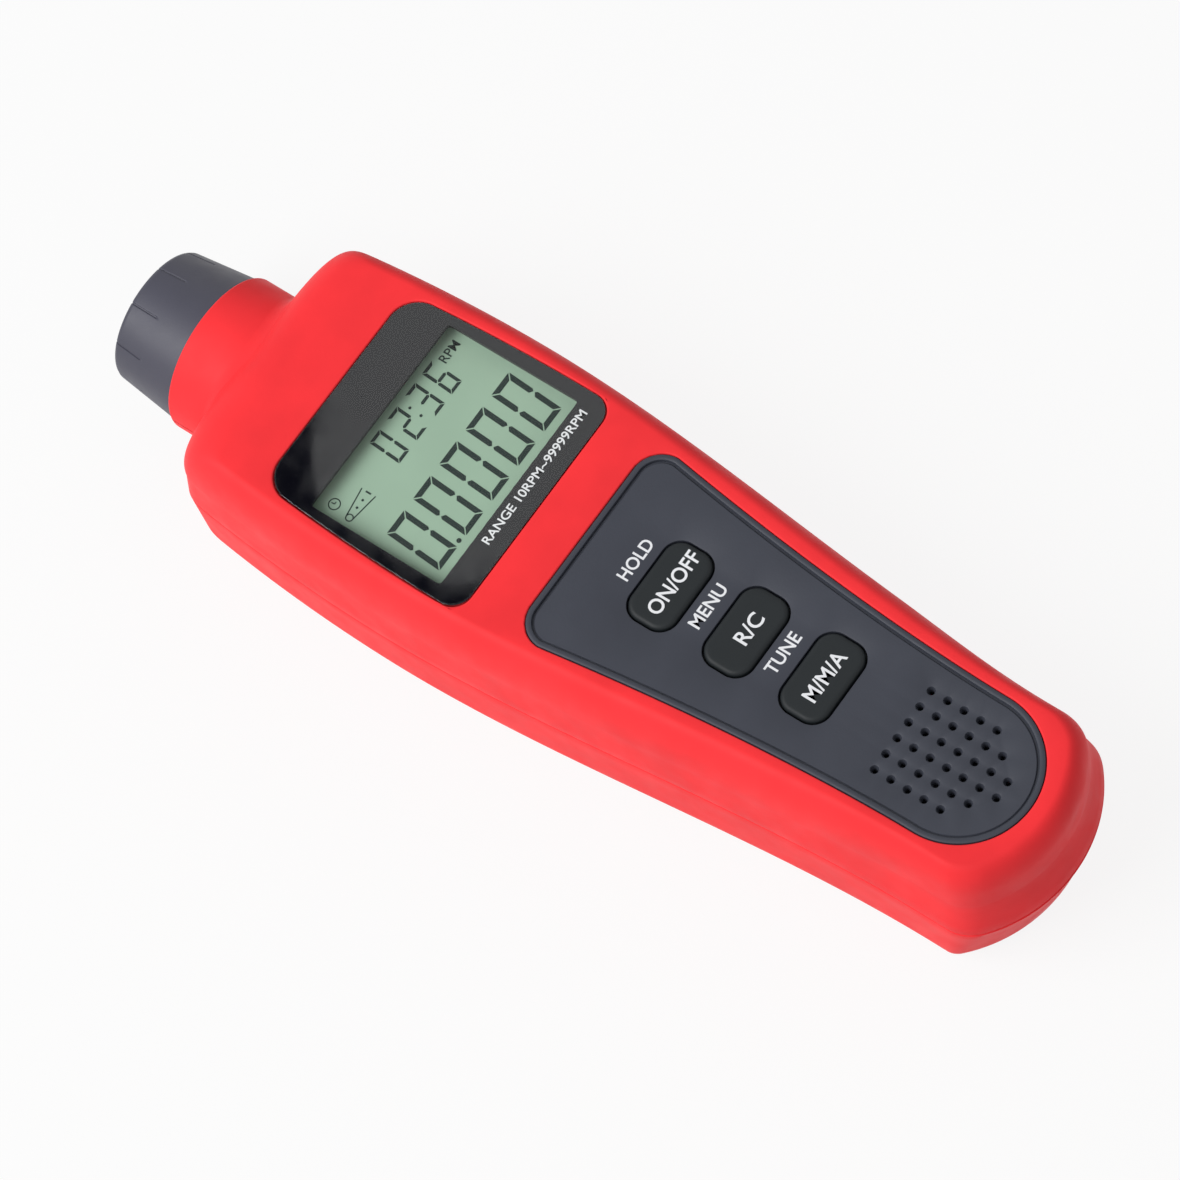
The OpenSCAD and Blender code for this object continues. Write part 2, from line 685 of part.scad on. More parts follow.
switch_side = 6;
module tact_switches() {
  color("gray") for (y = key_y) difference() {
    box([switch_side, switch_side], [0, y], board_z, board_z + switch_h);
    translate([0, y, 0]) post(plunger_d + 2 * slide_fit, board_z + switch_floor, board_z + switch_h + cut);
  }
}

module buzzer() {
  port_d = 2;
  port_depth = 1.5;
  top_z = panel_z - socket_in;
  color(black) translate([0, buzzer_y, 0]) difference() {
    post(buzzer_d, top_z - buzzer_h, top_z);
    post(port_d, top_z - port_depth, top_z + cut);
  }
}

// Two rows of two cells in series; the right row faces forward and the left row backward
nub_d = 3.8;
nub_l = 0.9;
module cell() {
  edge = 0.4;
  rotate_extrude() polygon([[0, 0], [cell_d / 2 - edge, 0], [cell_d / 2, edge],
    [cell_d / 2, cell_l - nub_l - edge], [cell_d / 2 - edge, cell_l - nub_l], [nub_d / 2, cell_l - nub_l],
    [nub_d / 2, cell_l], [0, cell_l]]);
}
column_y0 = tray_y0 + plate_t;
column_y1 = tray_y0 + tray_l - plate_t;
module battery_cells() {
  color("goldenrod") for (i = [0:1]) {
    along_y(column_x, cell_z, column_y0 + spring_l + i * (cell_l + cell_play)) cell();
    translate([-column_x, column_y1 - spring_l - i * (cell_l + cell_play), cell_z])
      rotate([90, 0, 0]) cell();
  }
}

plate_side = 8;
module contact_plates() {
  color("silver") for (x = [-column_x, column_x], y = [tray_y0, column_y1])
    translate([x - plate_side / 2, y, cell_z - plate_side / 2]) cube([plate_side, plate_t, plate_side]);
}

// Conical wire spring: a six-sided wire carried round a narrowing helix
spring_turns = 3;
spring_wire = 0.4;
spring_base_r = 3.4;
spring_tip_r = 2.2;
function spring_ring(u) =
  let (a = 360 * spring_turns * u, r = spring_base_r + (spring_tip_r - spring_base_r) * u,
    h = spring_wire + (spring_l - 2 * spring_wire) * u)
  [for (k = [0:5]) let (b = 60 * k, q = r + spring_wire * cos(b))
    [q * cos(a), q * sin(a), h + spring_wire * sin(b) * 0.9]];
module spring() { wire_loft([for (i = [0:40]) spring_ring(i / 40)]); }
module wire_loft(rings) {
  n = len(rings[0]);
  m = len(rings);
  polyhedron(
    points = [for (r = rings) each r],
    faces = concat(
      [[for (i = [n - 1:-1:0]) i]],
      [[for (i = [0:n - 1]) (m - 1) * n + i]],
      [for (j = [0:m - 2], i = [0:n - 1]) [j * n + i, (j + 1) * n + (i + 1) % n, (j + 1) * n + i]],
      [for (j = [0:m - 2], i = [0:n - 1]) [j * n + i, j * n + (i + 1) % n, (j + 1) * n + (i + 1) % n]]));
}
module contact_springs() {
  color("silver") {
    along_y(column_x, cell_z, column_y0) spring();
    translate([-column_x, column_y1, cell_z]) rotate([90, 0, 0]) spring();
  }
}

upper_shell();
lower_shell();
battery_door();
door_screw();
case_screws();
barrel();
front_lens();
lens_retainer();
optics_holder();
laser_module();
photodiode();
receiver_lens();
sensor_board();
display_window();
lcd_panel();
lcd_frame();
zebra_strips();
main_board();
board_screws();
keypad_panel();
power_key();
menu_key();
tune_key();
power_plunger();
menu_plunger();
tune_plunger();
tact_switches();
buzzer();
battery_cells();
contact_plates();
contact_springs();
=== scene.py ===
"""Looks of a handheld laser tachometer: shells, barrel, keys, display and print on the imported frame."""
import math

import bmesh
import bpy
import numpy as np
from mathutils import Matrix, Vector
from mathutils.geometry import delaunay_2d_cdt


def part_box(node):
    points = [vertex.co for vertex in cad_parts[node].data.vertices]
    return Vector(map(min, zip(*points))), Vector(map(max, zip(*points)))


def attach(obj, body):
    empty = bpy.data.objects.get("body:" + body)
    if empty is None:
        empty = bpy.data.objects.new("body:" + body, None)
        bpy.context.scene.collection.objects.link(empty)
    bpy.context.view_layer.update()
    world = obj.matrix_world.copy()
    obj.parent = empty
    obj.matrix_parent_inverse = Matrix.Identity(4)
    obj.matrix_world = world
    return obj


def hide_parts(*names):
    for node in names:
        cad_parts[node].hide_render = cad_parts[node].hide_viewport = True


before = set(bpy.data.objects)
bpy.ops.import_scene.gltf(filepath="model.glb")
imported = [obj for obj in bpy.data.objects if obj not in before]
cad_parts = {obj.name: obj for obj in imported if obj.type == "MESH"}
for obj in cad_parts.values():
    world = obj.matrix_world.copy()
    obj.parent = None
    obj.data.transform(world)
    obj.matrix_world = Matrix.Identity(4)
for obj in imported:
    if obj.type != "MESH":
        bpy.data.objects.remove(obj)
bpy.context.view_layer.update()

bl_info = {
    "name": "Laser tachometer",
    "version": (1, 0, 0),
    "blender": (4, 5, 0),
    "location": "3D View > Sidebar > Tachometer",
    "description": "Builds the finished surfaces of a handheld laser tachometer on its packed frame",
    "category": "Object",
}

MM = 0.001
CASE = "case"
KEYS = {"power_key": "power_button", "menu_key": "menu_button", "tune_key": "tune_button"}


def length(name, description, millimetres):
    """A length property with its default given in millimetres."""
    return bpy.props.FloatProperty(name=name, description=description, default=millimetres * MM,
                                   unit="LENGTH")


def turning(name, description, degrees):
    """An angle property with its default given in degrees."""
    return bpy.props.FloatProperty(name=name, description=description, default=math.radians(degrees),
                                   subtype="ANGLE")


def colour(name, description, value):
    """A linear colour property."""
    return bpy.props.FloatVectorProperty(name=name, description=description, default=value, subtype="COLOR",
                                         size=3, min=0.0, max=1.0)


class CaseSettings(bpy.types.PropertyGroup):
    """Sizes of the two-part moulded case."""
    case_l: length("Case length", "Length from the rear end to the front face", 157.6)
    head_w: length("Head width", "Greatest width of the head", 51.6)
    shoulder_w: length("Shoulder width", "Width at the front shoulders", 47.8)
    handle_w: length("Handle width", "Width at the rear end", 36.8)
    widest_back: length("Widest place", "Distance from the front face back to the widest place", 42.6)
    rear_round: length("Rear end", "Distance from the rear end to where the sides begin to widen", 15.0)
    shoulder_round: length("Shoulder rounding", "Length of the rounded shoulders", 8.5)
    tail_r: length("Tail arc", "Radius of the rear end seen from above", 24.5)
    tail_corner_r: length("Tail corners", "Radius of the lower rear corners seen from above", 3.5)
    tail_seam_r: length("Tail corners at seam", "Radius of the rear corners at the parting line", 7.0)
    tail_rake: length("Tail lean", "Lean of the lower rear end", 4.2)
    tail_round: length("Tail rounding", "Height of the rounding from face to rear end", 5.5)
    face_side: length("Face side inset", "Inset of the flat face from the sides", 4.6)
    face_rear: length("Face rear inset", "Inset of the flat face from the rear end", 4.2)
    face_front: length("Face front inset", "Inset of the flat face from the front", 9.9)
    face_round: length("Face rounding", "Height of the rounding from face to sides", 10.0)
    side_lean: length("Side lean", "Lean of the upper sides below the rounding", 0.6)
    tail_lean: length("Tail side lean", "Lean of the upper sides at the rear end", 1.5)
    front_lean: length("Front lean", "Lean of the upper front below the rounding", 1.2)
    rear_lean: length("Rear lean", "Lean of the upper rear end below its rounding", 1.3)
    back_inset: length("Back inset", "Inset of the flat back", 3.2)
    back_lean: length("Back lean", "Lean of the lower sides above the rounding", 0.2)
    back_round: length("Back rounding", "Height of the rounding from back to sides", 5.5)
    wall: length("Wall", "Thickness of the side walls", 2.0)
    face_wall: length("Face wall", "Thickness of the face wall", 2.8)
    front_wall: length("Front wall", "Thickness of the front wall", 5.0)
    back_wall: length("Back wall", "Thickness of the back wall", 1.95)
    seam: length("Seam", "Half width of the groove at the parting line", 0.14)
    seam_depth: length("Seam depth", "Depth of the groove at the parting line", 0.35)
    collar_r: length("Collar radius", "Outer radius of the collar", 13.7)
    collar_out: length("Collar length", "Length of the collar in front of the case", 7.7)
    collar_edge: length("Collar edge", "Radius of the collar's rounded front edge", 0.5)
    collar_blend: length("Collar blend", "Size of the hollow blend between collar and case", 2.2)
    well_d: length("Screw well", "Diameter of a screw well in the back", 5.0)
    well_depth: length("Screw well depth", "Depth of a screw well", 5.0)
    red: colour("Red", "Colour of the case", (0.93, 0.038, 0.045))


class BarrelSettings(bpy.types.PropertyGroup):
    """Sizes of the tapered barrel."""
    neck_r: length("Neck radius", "Radius of the neck inside the collar", 12.2)
    base_r: length("Base radius", "Radius in front of the collar", 13.1)
    tip_r: length("Tip radius", "Radius at the front edge", 11.6)
    mouth_r: length("Mouth radius", "Radius of the mouth round the lens", 9.8)
    edge: length("Edge", "Rounding of the front edge", 0.6)
    groove_l: length("Groove length", "Length of the grooves", 6.0)
    groove_w: length("Groove width", "Width of a groove", 0.3)
    groove_depth: length("Groove depth", "Depth of a groove", 0.2)
    groove_count: bpy.props.IntProperty(name="Grooves", description="Number of grooves", default=10, min=4)
    black: colour("Black", "Colour of the barrel", (0.046, 0.046, 0.068))


class PanelSettings(bpy.types.PropertyGroup):
    """Sizes of the key panel and the keys."""
    end_r: length("End radius", "Radius of the round rear end", 12.7)
    front_w: length("Front width", "Width of the front end", 38.6)
    corner_r: length("Corner radius", "Radius of the front corners", 5.0)
    rim: length("Rim", "Width of the raised rim", 1.0)
    sunk: length("Sunk", "Depth of the plate below the rim", 0.35)
    thickness: length("Thickness", "Thickness at the rim", 2.0)
    groove_w: length("Groove width", "Width of the groove inside the rim", 0.3)
    groove_depth: length("Groove depth", "Depth of the groove inside the rim", 0.3)
    key_corner_r: length("Key corner", "Corner radius of a key", 3.0)
    key_flange: length("Key flange", "Width of the flange that keeps a key in", 1.1)
    key_round: length("Key rounding", "Rounding of a key's upper edge", 0.8)
    key_shift: length("Key offset", "How far the keys sit to the right of the middle", 0.5)
    key_trim: length("Key trim", "How much shorter a key's cap is than its packed solid", 0.8)
    slide_fit: length("Key gap", "Gap round a key", 0.3)
    grille_pitch: length("Grille pitch", "Distance between sounder holes", 3.0)
    grille_d: length("Grille hole", "Diameter of a sounder hole at its mouth", 1.35)
    grille_flare: length("Grille flare", "Narrowing of a sounder hole below its mouth", 0.25)
    grille_rear: length("Grille end", "Distance from the rear end to the last row of holes", 5.3)
    charcoal: colour("Charcoal", "Colour of the panel", (0.040, 0.044, 0.059))
    black: colour("Key black", "Colour of the keys", (0.010, 0.013, 0.015))


class DisplaySettings(bpy.types.PropertyGroup):
    """Sizes of the display window and its glass."""
    front_w: length("Front width", "Width of the window at its front end", 39.2)
    rear_r: length("Rear corners", "Radius of the rear corners", 3.5)
    front_r: length("Front corners", "Radius of the front corners", 5.0)
    clear_w: length("Clear width", "Width of the clear field", 36.5)
    clear_l: length("Clear length", "Length of the clear field", 25.3)
    clear_back: length("Clear offset", "Distance of the clear field behind the window's middle", 1.75)
    glass: colour("Glass", "Colour of the liquid crystal glass", (0.36, 0.50, 0.39))
    segment: colour("Segments", "Colour of the shown segments", (0.022, 0.036, 0.033))
    tilt: turning("Digit tilt", "Slant of the digits", 3.4)


class StageSettings(bpy.types.PropertyGroup):
    """Direction, turn, distance and lens of the camera."""
    azimuth: turning("Azimuth", "Direction of the camera", -34.516)
    elevation: turning("Elevation", "Height angle of the camera", 64.597)
    roll: turning("Roll", "Turn of the camera about its view", -21.488)
    distance: length("Distance", "Distance of the camera from its target", 933.57)
    lens: bpy.props.FloatProperty(name="Lens", description="Focal length in millimetres", default=183.05)


def settings():
    """The scene's settings for this object."""
    return bpy.context.scene.tachometer


class TachometerSettings(bpy.types.PropertyGroup):
    """All settings of the tachometer."""
    case: bpy.props.PointerProperty(type=CaseSettings)
    barrel: bpy.props.PointerProperty(type=BarrelSettings)
    panel: bpy.props.PointerProperty(type=PanelSettings)
    display: bpy.props.PointerProperty(type=DisplaySettings)
    stage: bpy.props.PointerProperty(type=StageSettings)


# Mesh making

def quads(rows, columns, wrap, start):
    """Faces of a grid of points, row by row; wrap joins the last column to the first."""
    r = np.arange(rows - 1)[:, None]
    c = np.arange(columns if wrap else columns - 1)[None, :]
    d = (c + 1) % columns
    corners = np.stack([r * columns + c, r * columns + d, (r + 1) * columns + d, (r + 1) * columns + c], -1)
    return start + corners.reshape(-1, 4)


def make_piece(name, patches, material, body=CASE, stands_for=(), crease=35.0, flats=()):
    """One mesh object of grid patches (points, wrap) and flats (points, faces), welded, facing outwards."""
    points, faces, start = [], [], 0
    for grid, wrap in patches:
        grid = np.asarray(grid, float)
        points.append(grid.reshape(-1, 3))
        faces.extend(quads(grid.shape[0], grid.shape[1], wrap, start).tolist())
        start += grid.shape[0] * grid.shape[1]
    for flat, polygons in flats:
        points.append(np.asarray(flat, float))
        faces.extend([[start + i for i in p] for p in polygons])
        start += len(flat)
    mesh = bpy.data.meshes.new(name)
    mesh.from_pydata(np.concatenate(points).tolist(), [], faces)
    shape = bmesh.new()
    shape.from_mesh(mesh)
    bmesh.ops.remove_doubles(shape, verts=shape.verts, dist=1e-6)
    bmesh.ops.dissolve_degenerate(shape, edges=shape.edges, dist=1e-8)
    bmesh.ops.recalc_face_normals(shape, faces=shape.faces)
    shape.to_mesh(mesh)
    shape.free()
    mesh.polygons.foreach_set("use_smooth", np.ones(len(mesh.polygons), bool))
    mesh.set_sharp_from_angle(angle=math.radians(crease))
    mesh.materials.append(material)
    piece = bpy.data.objects.new(name, mesh)
    bpy.context.scene.collection.objects.link(piece)
    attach(piece, body)
    if stands_for:
        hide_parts(*stands_for)
    return piece


def at_height(loop, z):
    """A flat loop of points lifted to a height."""
    return np.column_stack([loop, np.full(len(loop), z)])


def arc(cx, cy, r, a0, a1, steps):
    """Points of an arc, angles in degrees."""
    a = np.radians(np.linspace(a0, a1, steps))
    return np.column_stack([cx + r * np.cos(a), cy + r * np.sin(a)])


def mirrored(half):
    """A closed loop from the points of its right half."""
    return np.concatenate([half, half[::-1] * (-1, 1)])


def bearings(points, centre):
    """Angles at which points lie round a centre, seen from above."""
    d = points[:, :2] - centre
    return np.arctan2(d[:, 1], d[:, 0])


def seen_from(loop, centre, angles):
    """Points where rays from the centre at the given angles meet a closed loop."""
    d = loop - centre
    a = bearings(loop, centre)
    order = np.argsort(a)
    r = np.interp(angles, a[order], np.hypot(d[:, 0], d[:, 1])[order], period=2 * np.pi)
    return centre + r[:, None] * np.column_stack([np.cos(angles), np.sin(angles)])


def round_rect(w, l, r, steps=14):
    """Closed loop of a rectangle with rounded corners, with points along its straight edges too."""
    x, y = w / 2 - r, l / 2 - r
    corners = [arc(x, y, r, 0, 90, steps), arc(-x, y, r, 90, 180, steps), arc(-x, -y, r, 180, 270, steps),
               arc(x, -y, r, 270, 360, steps)]
    edges = [np.linspace(a[-1], b[0], 16)[1:-1] for a, b in zip(corners, corners[1:] + corners[:1])]
    return np.concatenate([p for pair in zip(corners, edges) for p in pair])


def fan(loop, z, centre, rings=10):
    """Level rings that shrink evenly from a loop to its centre."""
    share = np.linspace(1, 0, rings)
    flat = centre + share[:, None, None] * (np.asarray(loop) - centre)[None]
    return np.concatenate([flat, np.full(flat.shape[:2] + (1,), z)], -1)


def within(loop, points):
    """Which points lie inside a closed loop: an odd number of its edges lies to their right."""
    a, b = loop[None], np.roll(loop, -1, 0)[None]
    p = points[:, None]
    spans = (a[..., 1] > p[..., 1]) != (b[..., 1] > p[..., 1])
    rise = np.where(b[..., 1] == a[..., 1], 1.0, b[..., 1] - a[..., 1])
    cross = a[..., 0] + (p[..., 1] - a[..., 1]) * (b[..., 0] - a[..., 0]) / rise
    return (np.sum(spans & (p[..., 0] < cross), 1) % 2).astype(bool)


def flat_with_holes(outer, holes, z):
    """A level face inside one loop and outside others: constrained triangles, those in a hole left out."""
    loops = [np.asarray(outer)] + [np.asarray(h) for h in holes]
    edges, start = [], 0
    for loop in loops:
        i = np.arange(len(loop))
        edges.extend(np.column_stack([start + i, start + (i + 1) % len(loop)]).tolist())
        start += len(loop)
    flat = [Vector(p) for p in np.concatenate(loops)]
    points, _, faces, _, _, _ = delaunay_2d_cdt(flat, edges, [], 1, 1e-9)
    points, faces = np.array(points), np.array(faces)
    middles = points[faces].mean(1)
    kept = within(loops[0], middles)
    for hole in loops[1:]:
        kept &= ~within(hole, middles)
    return at_height(points, z), faces[kept].tolist()


# Materials

def new_material(name, base, roughness, specular=0.5, metallic=0.0):
    """A principled material with its constant values on the shader's own sockets."""
    material = bpy.data.materials.new(name)
    material.use_nodes = True
    shader = material.node_tree.nodes["Principled BSDF"]
    shader.inputs["Base Color"].default_value = (*base, 1.0)
    shader.inputs["Roughness"].default_value = roughness
    shader.inputs["Specular IOR Level"].default_value = specular
    shader.inputs["Metallic"].default_value = metallic
    return material, material.node_tree, shader


def add_node(tree, kind, values=None, links=None, **fields):
    """A new node: fields are set first, then sockets get values or the outputs that are linked to them."""
    made = tree.nodes.new(kind)
    for field, value in fields.items():
        setattr(made, field, value)
    for socket, value in (values or {}).items():
        made.inputs[socket].default_value = value
    for socket, source in (links or {}).items():
        tree.links.new(source, made.inputs[socket])
    return made


def maths(tree, operation, a, b, **fields):
    """The output of a Math node whose two inputs are numbers or outputs of other nodes."""
    values = {i: v for i, v in enumerate((a, b)) if isinstance(v, float)}
    links = {i: v for i, v in enumerate((a, b)) if not isinstance(v, float)}
    return add_node(tree, "ShaderNodeMath", values, links, operation=operation, **fields).outputs["Value"]


def show_mix(tree, output, share, first, second):
    """Shows a mix of two shaders at a tree's output; share says how much of the second."""
    mix = add_node(tree, "ShaderNodeMixShader", links={"Fac": share, 1: first, 2: second})
    tree.links.new(mix.outputs["Shader"], tree.nodes[output].inputs["Surface"])


def object_place(tree):
    """Object coordinates."""
    return tree.nodes.new("ShaderNodeTexCoord").outputs["Object"]


def noise(tree, scale, detail=3.0):
    """A noise texture on Object coordinates."""
    return add_node(tree, "ShaderNodeTexNoise", {"Scale": scale, "Detail": detail},
                    {"Vector": object_place(tree)}).outputs["Fac"]


def spread(tree, value, low, high):
    """A noise value spread over a range."""
    ends = {"From Min": 0.3, "From Max": 0.7, "To Min": low, "To Max": high}
    return add_node(tree, "ShaderNodeMapRange", ends, {"Value": value}).outputs["Result"]


WHITE = (1.0, 1.0, 1.0, 1.0)
MOTTLE_SCALE, GLOSS_SCALE, METAL_SCALE, PLATE_SCALE, TRACK_SCALE = 90.0, 260.0, 900.0, 30.0, 220.0
GRAIN_DEPTH = 0.05 * MM
PLATE_IOR = 1.34


def moulded(name, base, roughness, grain, depth, variation=0.06, specular=0.5):
    """Moulded plastic: a fine grain in the bump, broad faint mottling in colour and roughness."""
    material, tree, shader = new_material(name, base, roughness, specular)
    tones = [(*[min(1.0, c * k) for c in base], 1.0) for k in (1 - variation, 1 + variation)]
    mix = add_node(tree, "ShaderNodeMix", {"A": tones[0], "B": tones[1]},
                   {"Factor": spread(tree, noise(tree, MOTTLE_SCALE), 0.0, 1.0)}, data_type="RGBA")
    tree.links.new(mix.outputs["Result"], shader.inputs["Base Color"])
    gloss = spread(tree, noise(tree, GLOSS_SCALE), roughness - 0.05, roughness + 0.05)
    tree.links.new(gloss, shader.inputs["Roughness"])
    bump = add_node(tree, "ShaderNodeBump", {"Strength": depth, "Distance": GRAIN_DEPTH},
                    {"Height": noise(tree, grain, 2.0)})
    tree.links.new(bump.outputs["Normal"], shader.inputs["Normal"])
    return material


def brushed_metal(name, base, roughness):
    """Turned or stamped metal with fine uneven gloss."""
    material, tree, shader = new_material(name, base, roughness, 0.5, 1.0)
    gloss = spread(tree, noise(tree, METAL_SCALE, 4.0), roughness - 0.08, roughness + 0.12)
    tree.links.new(gloss, shader.inputs["Roughness"])
    return material


def clear_plate(name, tint):
    """Clear acrylic: light passes straight through, and its outer side reflects by its angle."""
    material = bpy.data.materials.new(name)
    material.use_nodes = True
    tree = material.node_tree
    tree.nodes.remove(tree.nodes["Principled BSDF"])
    through = add_node(tree, "ShaderNodeBsdfTransparent", {"Color": (*tint, 1.0)})
    gloss = add_node(tree, "ShaderNodeBsdfGlossy", {"Color": WHITE},
                     {"Roughness": spread(tree, noise(tree, PLATE_SCALE), 0.03, 0.05)})
    mirrors = add_node(tree, "ShaderNodeFresnel", {"IOR": PLATE_IOR}).outputs["Fac"]
    back = tree.nodes.new("ShaderNodeNewGeometry").outputs["Backfacing"]
    front = maths(tree, "SUBTRACT", 1.0, back, use_clamp=True)
    show_mix(tree, "Material Output", maths(tree, "MULTIPLY", mirrors, front), through.outputs["BSDF"],
             gloss.outputs["BSDF"])
    return material


def circuit_board(name):
    """Green board lacquer with a faint pattern of tracks."""
    material, tree, shader = new_material(name, (0.01, 0.10, 0.04), 0.35)
    tracks = add_node(tree, "ShaderNodeTexBrick",
                      {"Scale": TRACK_SCALE, "Color1": (0.008, 0.085, 0.035, 1.0),
                       "Color2": (0.012, 0.115, 0.045, 1.0), "Mortar": (0.03, 0.17, 0.07, 1.0)},
                      {"Vector": object_place(tree)})
    tree.links.new(tracks.outputs["Color"], shader.inputs["Base Color"])
    return material


FINISHES = {}


def finish(name):
    """The object's finishes by name, each made once."""
    if not FINISHES:
        s = settings()
        # Colour, roughness, scale and depth of the grain, share of mottling, specular level
        plastics = {
            "red_case": (s.case.red, 0.5, 2600.0, 0.25, 0.06, 0.1),
            "barrel_black": (s.barrel.black, 0.45, 2200.0, 0.3),
            "panel_charcoal": (s.panel.charcoal, 0.46, 2400.0, 0.3, 0.06, 0.3),
            "key_black": (s.panel.black, 0.5, 2600.0, 0.25, 0.06, 0.25),
            "print_black": ((0.004, 0.004, 0.007), 0.06, 3000.0, 0.0),
            "print_white": ((0.82, 0.83, 0.86), 0.55, 3000.0, 0.1, 0.03, 0.3),
            "lcd_glass": (s.display.glass, 0.6, 1800.0, 0.05, 0.03, 0.05),
            "lcd_segment": (s.display.segment, 0.6, 1800.0, 0.05, 0.05, 0.05),
            "frame_white": ((0.75, 0.75, 0.72), 0.5, 1500.0, 0.1),
            "contact_rubber": ((0.05, 0.05, 0.05), 0.7, 3000.0, 0.3),
            "switch_grey": ((0.18, 0.18, 0.19), 0.45, 2000.0, 0.2),
            "diode_dark": ((0.02, 0.015, 0.03), 0.2, 2000.0, 0.05),
            "cell_jacket": ((0.55, 0.38, 0.06), 0.3, 1200.0, 0.1),
        }
        FINISHES.update({kind: moulded(kind, *row) for kind, row in plastics.items()})
        FINISHES.update({
            "window_clear": clear_plate("window_clear", (0.98, 0.99, 0.98)),
            "lens_clear": clear_plate("lens_clear", (0.80, 0.55, 0.55)),
            "board_green": circuit_board("board_green"),
            "screw_steel": brushed_metal("screw_steel", (0.62, 0.62, 0.63), 0.3),
            "laser_brass": brushed_metal("laser_brass", (0.75, 0.55, 0.24), 0.28),
        })
    return FINISHES[name]


# Places that the frame gives

def span(node):
    """Lowest and highest corner of a node as arrays."""
    low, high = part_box(node)
    return np.array(low), np.array(high)


class Places:
    """Places along the case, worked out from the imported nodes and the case's sizes."""

    def __init__(self):
        upper_low, upper_high = span("upper_shell")
        self.case = case = settings().case
        self.rear_y = upper_low[1]
        self.front_y = self.rear_y + case.case_l
        self.collar_y = self.front_y + case.collar_out
        self.top_z = upper_high[2]
        self.axis_z = upper_low[2]
        self.handle_y = self.rear_y + case.rear_round
        self.shoulder_y = self.front_y - case.shoulder_round
        self.widest_y = self.front_y - case.widest_back
        self.window_low, self.window_high = span("display_window")
        self.panel_low, self.panel_high = span("keypad_panel")
        self.split_y = (self.window_low[1] + self.panel_high[1]) / 2
        self.tip_y = span("barrel")[1][1]

    def half_w(self, y):
        """Half width at the parting line: an S curve up the handle, then a parabola to the shoulders."""
        c = self.case
        t = np.clip((y - self.handle_y) / (self.widest_y - self.handle_y), 0, 1)
        rising = c.handle_w / 2 + (c.head_w - c.handle_w) / 2 * t * t * (3 - 2 * t)
        u = (y - self.widest_y) / (self.shoulder_y - self.widest_y)
        return np.where(y < self.widest_y, rising, c.head_w / 2 - (c.head_w - c.shoulder_w) / 2 * u * u)

    def tail_share(self, y):
        """One at the rear end, falling by an S curve to nothing further up the handle."""
        t = np.clip((y - self.handle_y) / TAIL_REACH, 0, 1)
        return 1 - t * t * (3 - 2 * t)

    def front_slope(self):
        """How fast the half width shrinks where the sides meet the shoulders."""
        return (self.case.head_w - self.case.shoulder_w) / (self.shoulder_y - self.widest_y)

    def front_start(self, front):
        """Where the shoulders begin, and how far they reach from there, for a front inset."""
        return (self.shoulder_y - SHOULDER_SHARE * front,
                self.case.shoulder_round - (1 - SHOULDER_SHARE) * front)


TAIL_POINTS, CORNER_POINTS, REAR_POINTS, HEAD_POINTS, CAP_POINTS = 25, 17, 70, 56, 45
SPLIT = TAIL_POINTS + CORNER_POINTS + REAR_POINTS - 3
SHOULDER_POWER = 4.4
SHOULDER_SHARE = 0.6
TAIL_REACH = 30 * MM


def tail_corner(at, inset, z):
    """Corner radius of the rear end, growing evenly from the back to the seam and on towards the face."""
    c = at.case
    if z >= at.axis_z:
        return c.tail_seam_r + 0.1 * inset
    share = max(0.0, (z - c.back_round) / (at.axis_z - c.back_round))
    return max(MM, c.tail_corner_r + (c.tail_seam_r - c.tail_corner_r) * share - inset)


def case_ring(at, side, rear, front, z, tail=None):
    """One closed ring round the case: tail arc, corner, side curve and a superellipse over the shoulders."""
    c = at.case
    tail_side = side if tail is None else tail
    w = c.handle_w / 2 - tail_side
    big = c.tail_r - tail_side
    small = tail_corner(at, tail_side, z)
    turn = math.asin((w - small) / (big - small))
    centre_y = at.rear_y + rear + big
    a = np.linspace(0, turn, TAIL_POINTS)
    end = np.column_stack([big * np.sin(a), centre_y - big * np.cos(a)])
    a = np.linspace(turn, np.pi / 2, CORNER_POINTS)[1:]
    corner = np.column_stack([w - small + small * np.sin(a),
                              centre_y - (big - small) * math.cos(turn) - small * np.cos(a)])
    start_y, length_y = at.front_start(front)
    y = np.concatenate([np.linspace(corner[-1, 1], at.split_y, REAR_POINTS)[1:],
                        np.linspace(at.split_y, start_y, HEAD_POINTS)[1:]])
    flank = np.column_stack([at.half_w(y) - side - (tail_side - side) * at.tail_share(y), y])
    a = np.linspace(np.pi / 2, 0, CAP_POINTS)[1:]
    reach = length_y * np.maximum(np.cos(a), 0) ** (2 / SHOULDER_POWER)
    width = at.half_w(start_y) - side - at.front_slope() * reach
    cap = np.column_stack([width * np.maximum(np.sin(a), 0) ** (2 / SHOULDER_POWER), start_y + reach])
    half = np.concatenate([end, corner, flank, cap])
    half[0, 0] = half[-1, 0] = 0.0
    ring = np.concatenate([half, half[-2:0:-1] * (-1, 1)])
    return at_height(ring, z)


def rolled(lean, inset, angle):
    """Inset along a quarter ellipse that starts at the lean of the wall below it."""
    return lean + (inset - lean) * (1 - math.cos(angle))


def tail_top(at, drop):
    """Inset of the upper rear end at a depth below the face, on its own shorter quarter ellipse."""
    u = max(0.0, 1 - drop / at.case.tail_round)
    return at.case.rear_lean + (at.case.face_rear - at.case.rear_lean) * (1 - math.sqrt(1 - u * u))


def tail_low(at, z):
    """Lean of the lower rear end at a height."""
    return at.case.tail_rake * (at.axis_z - z) / at.axis_z


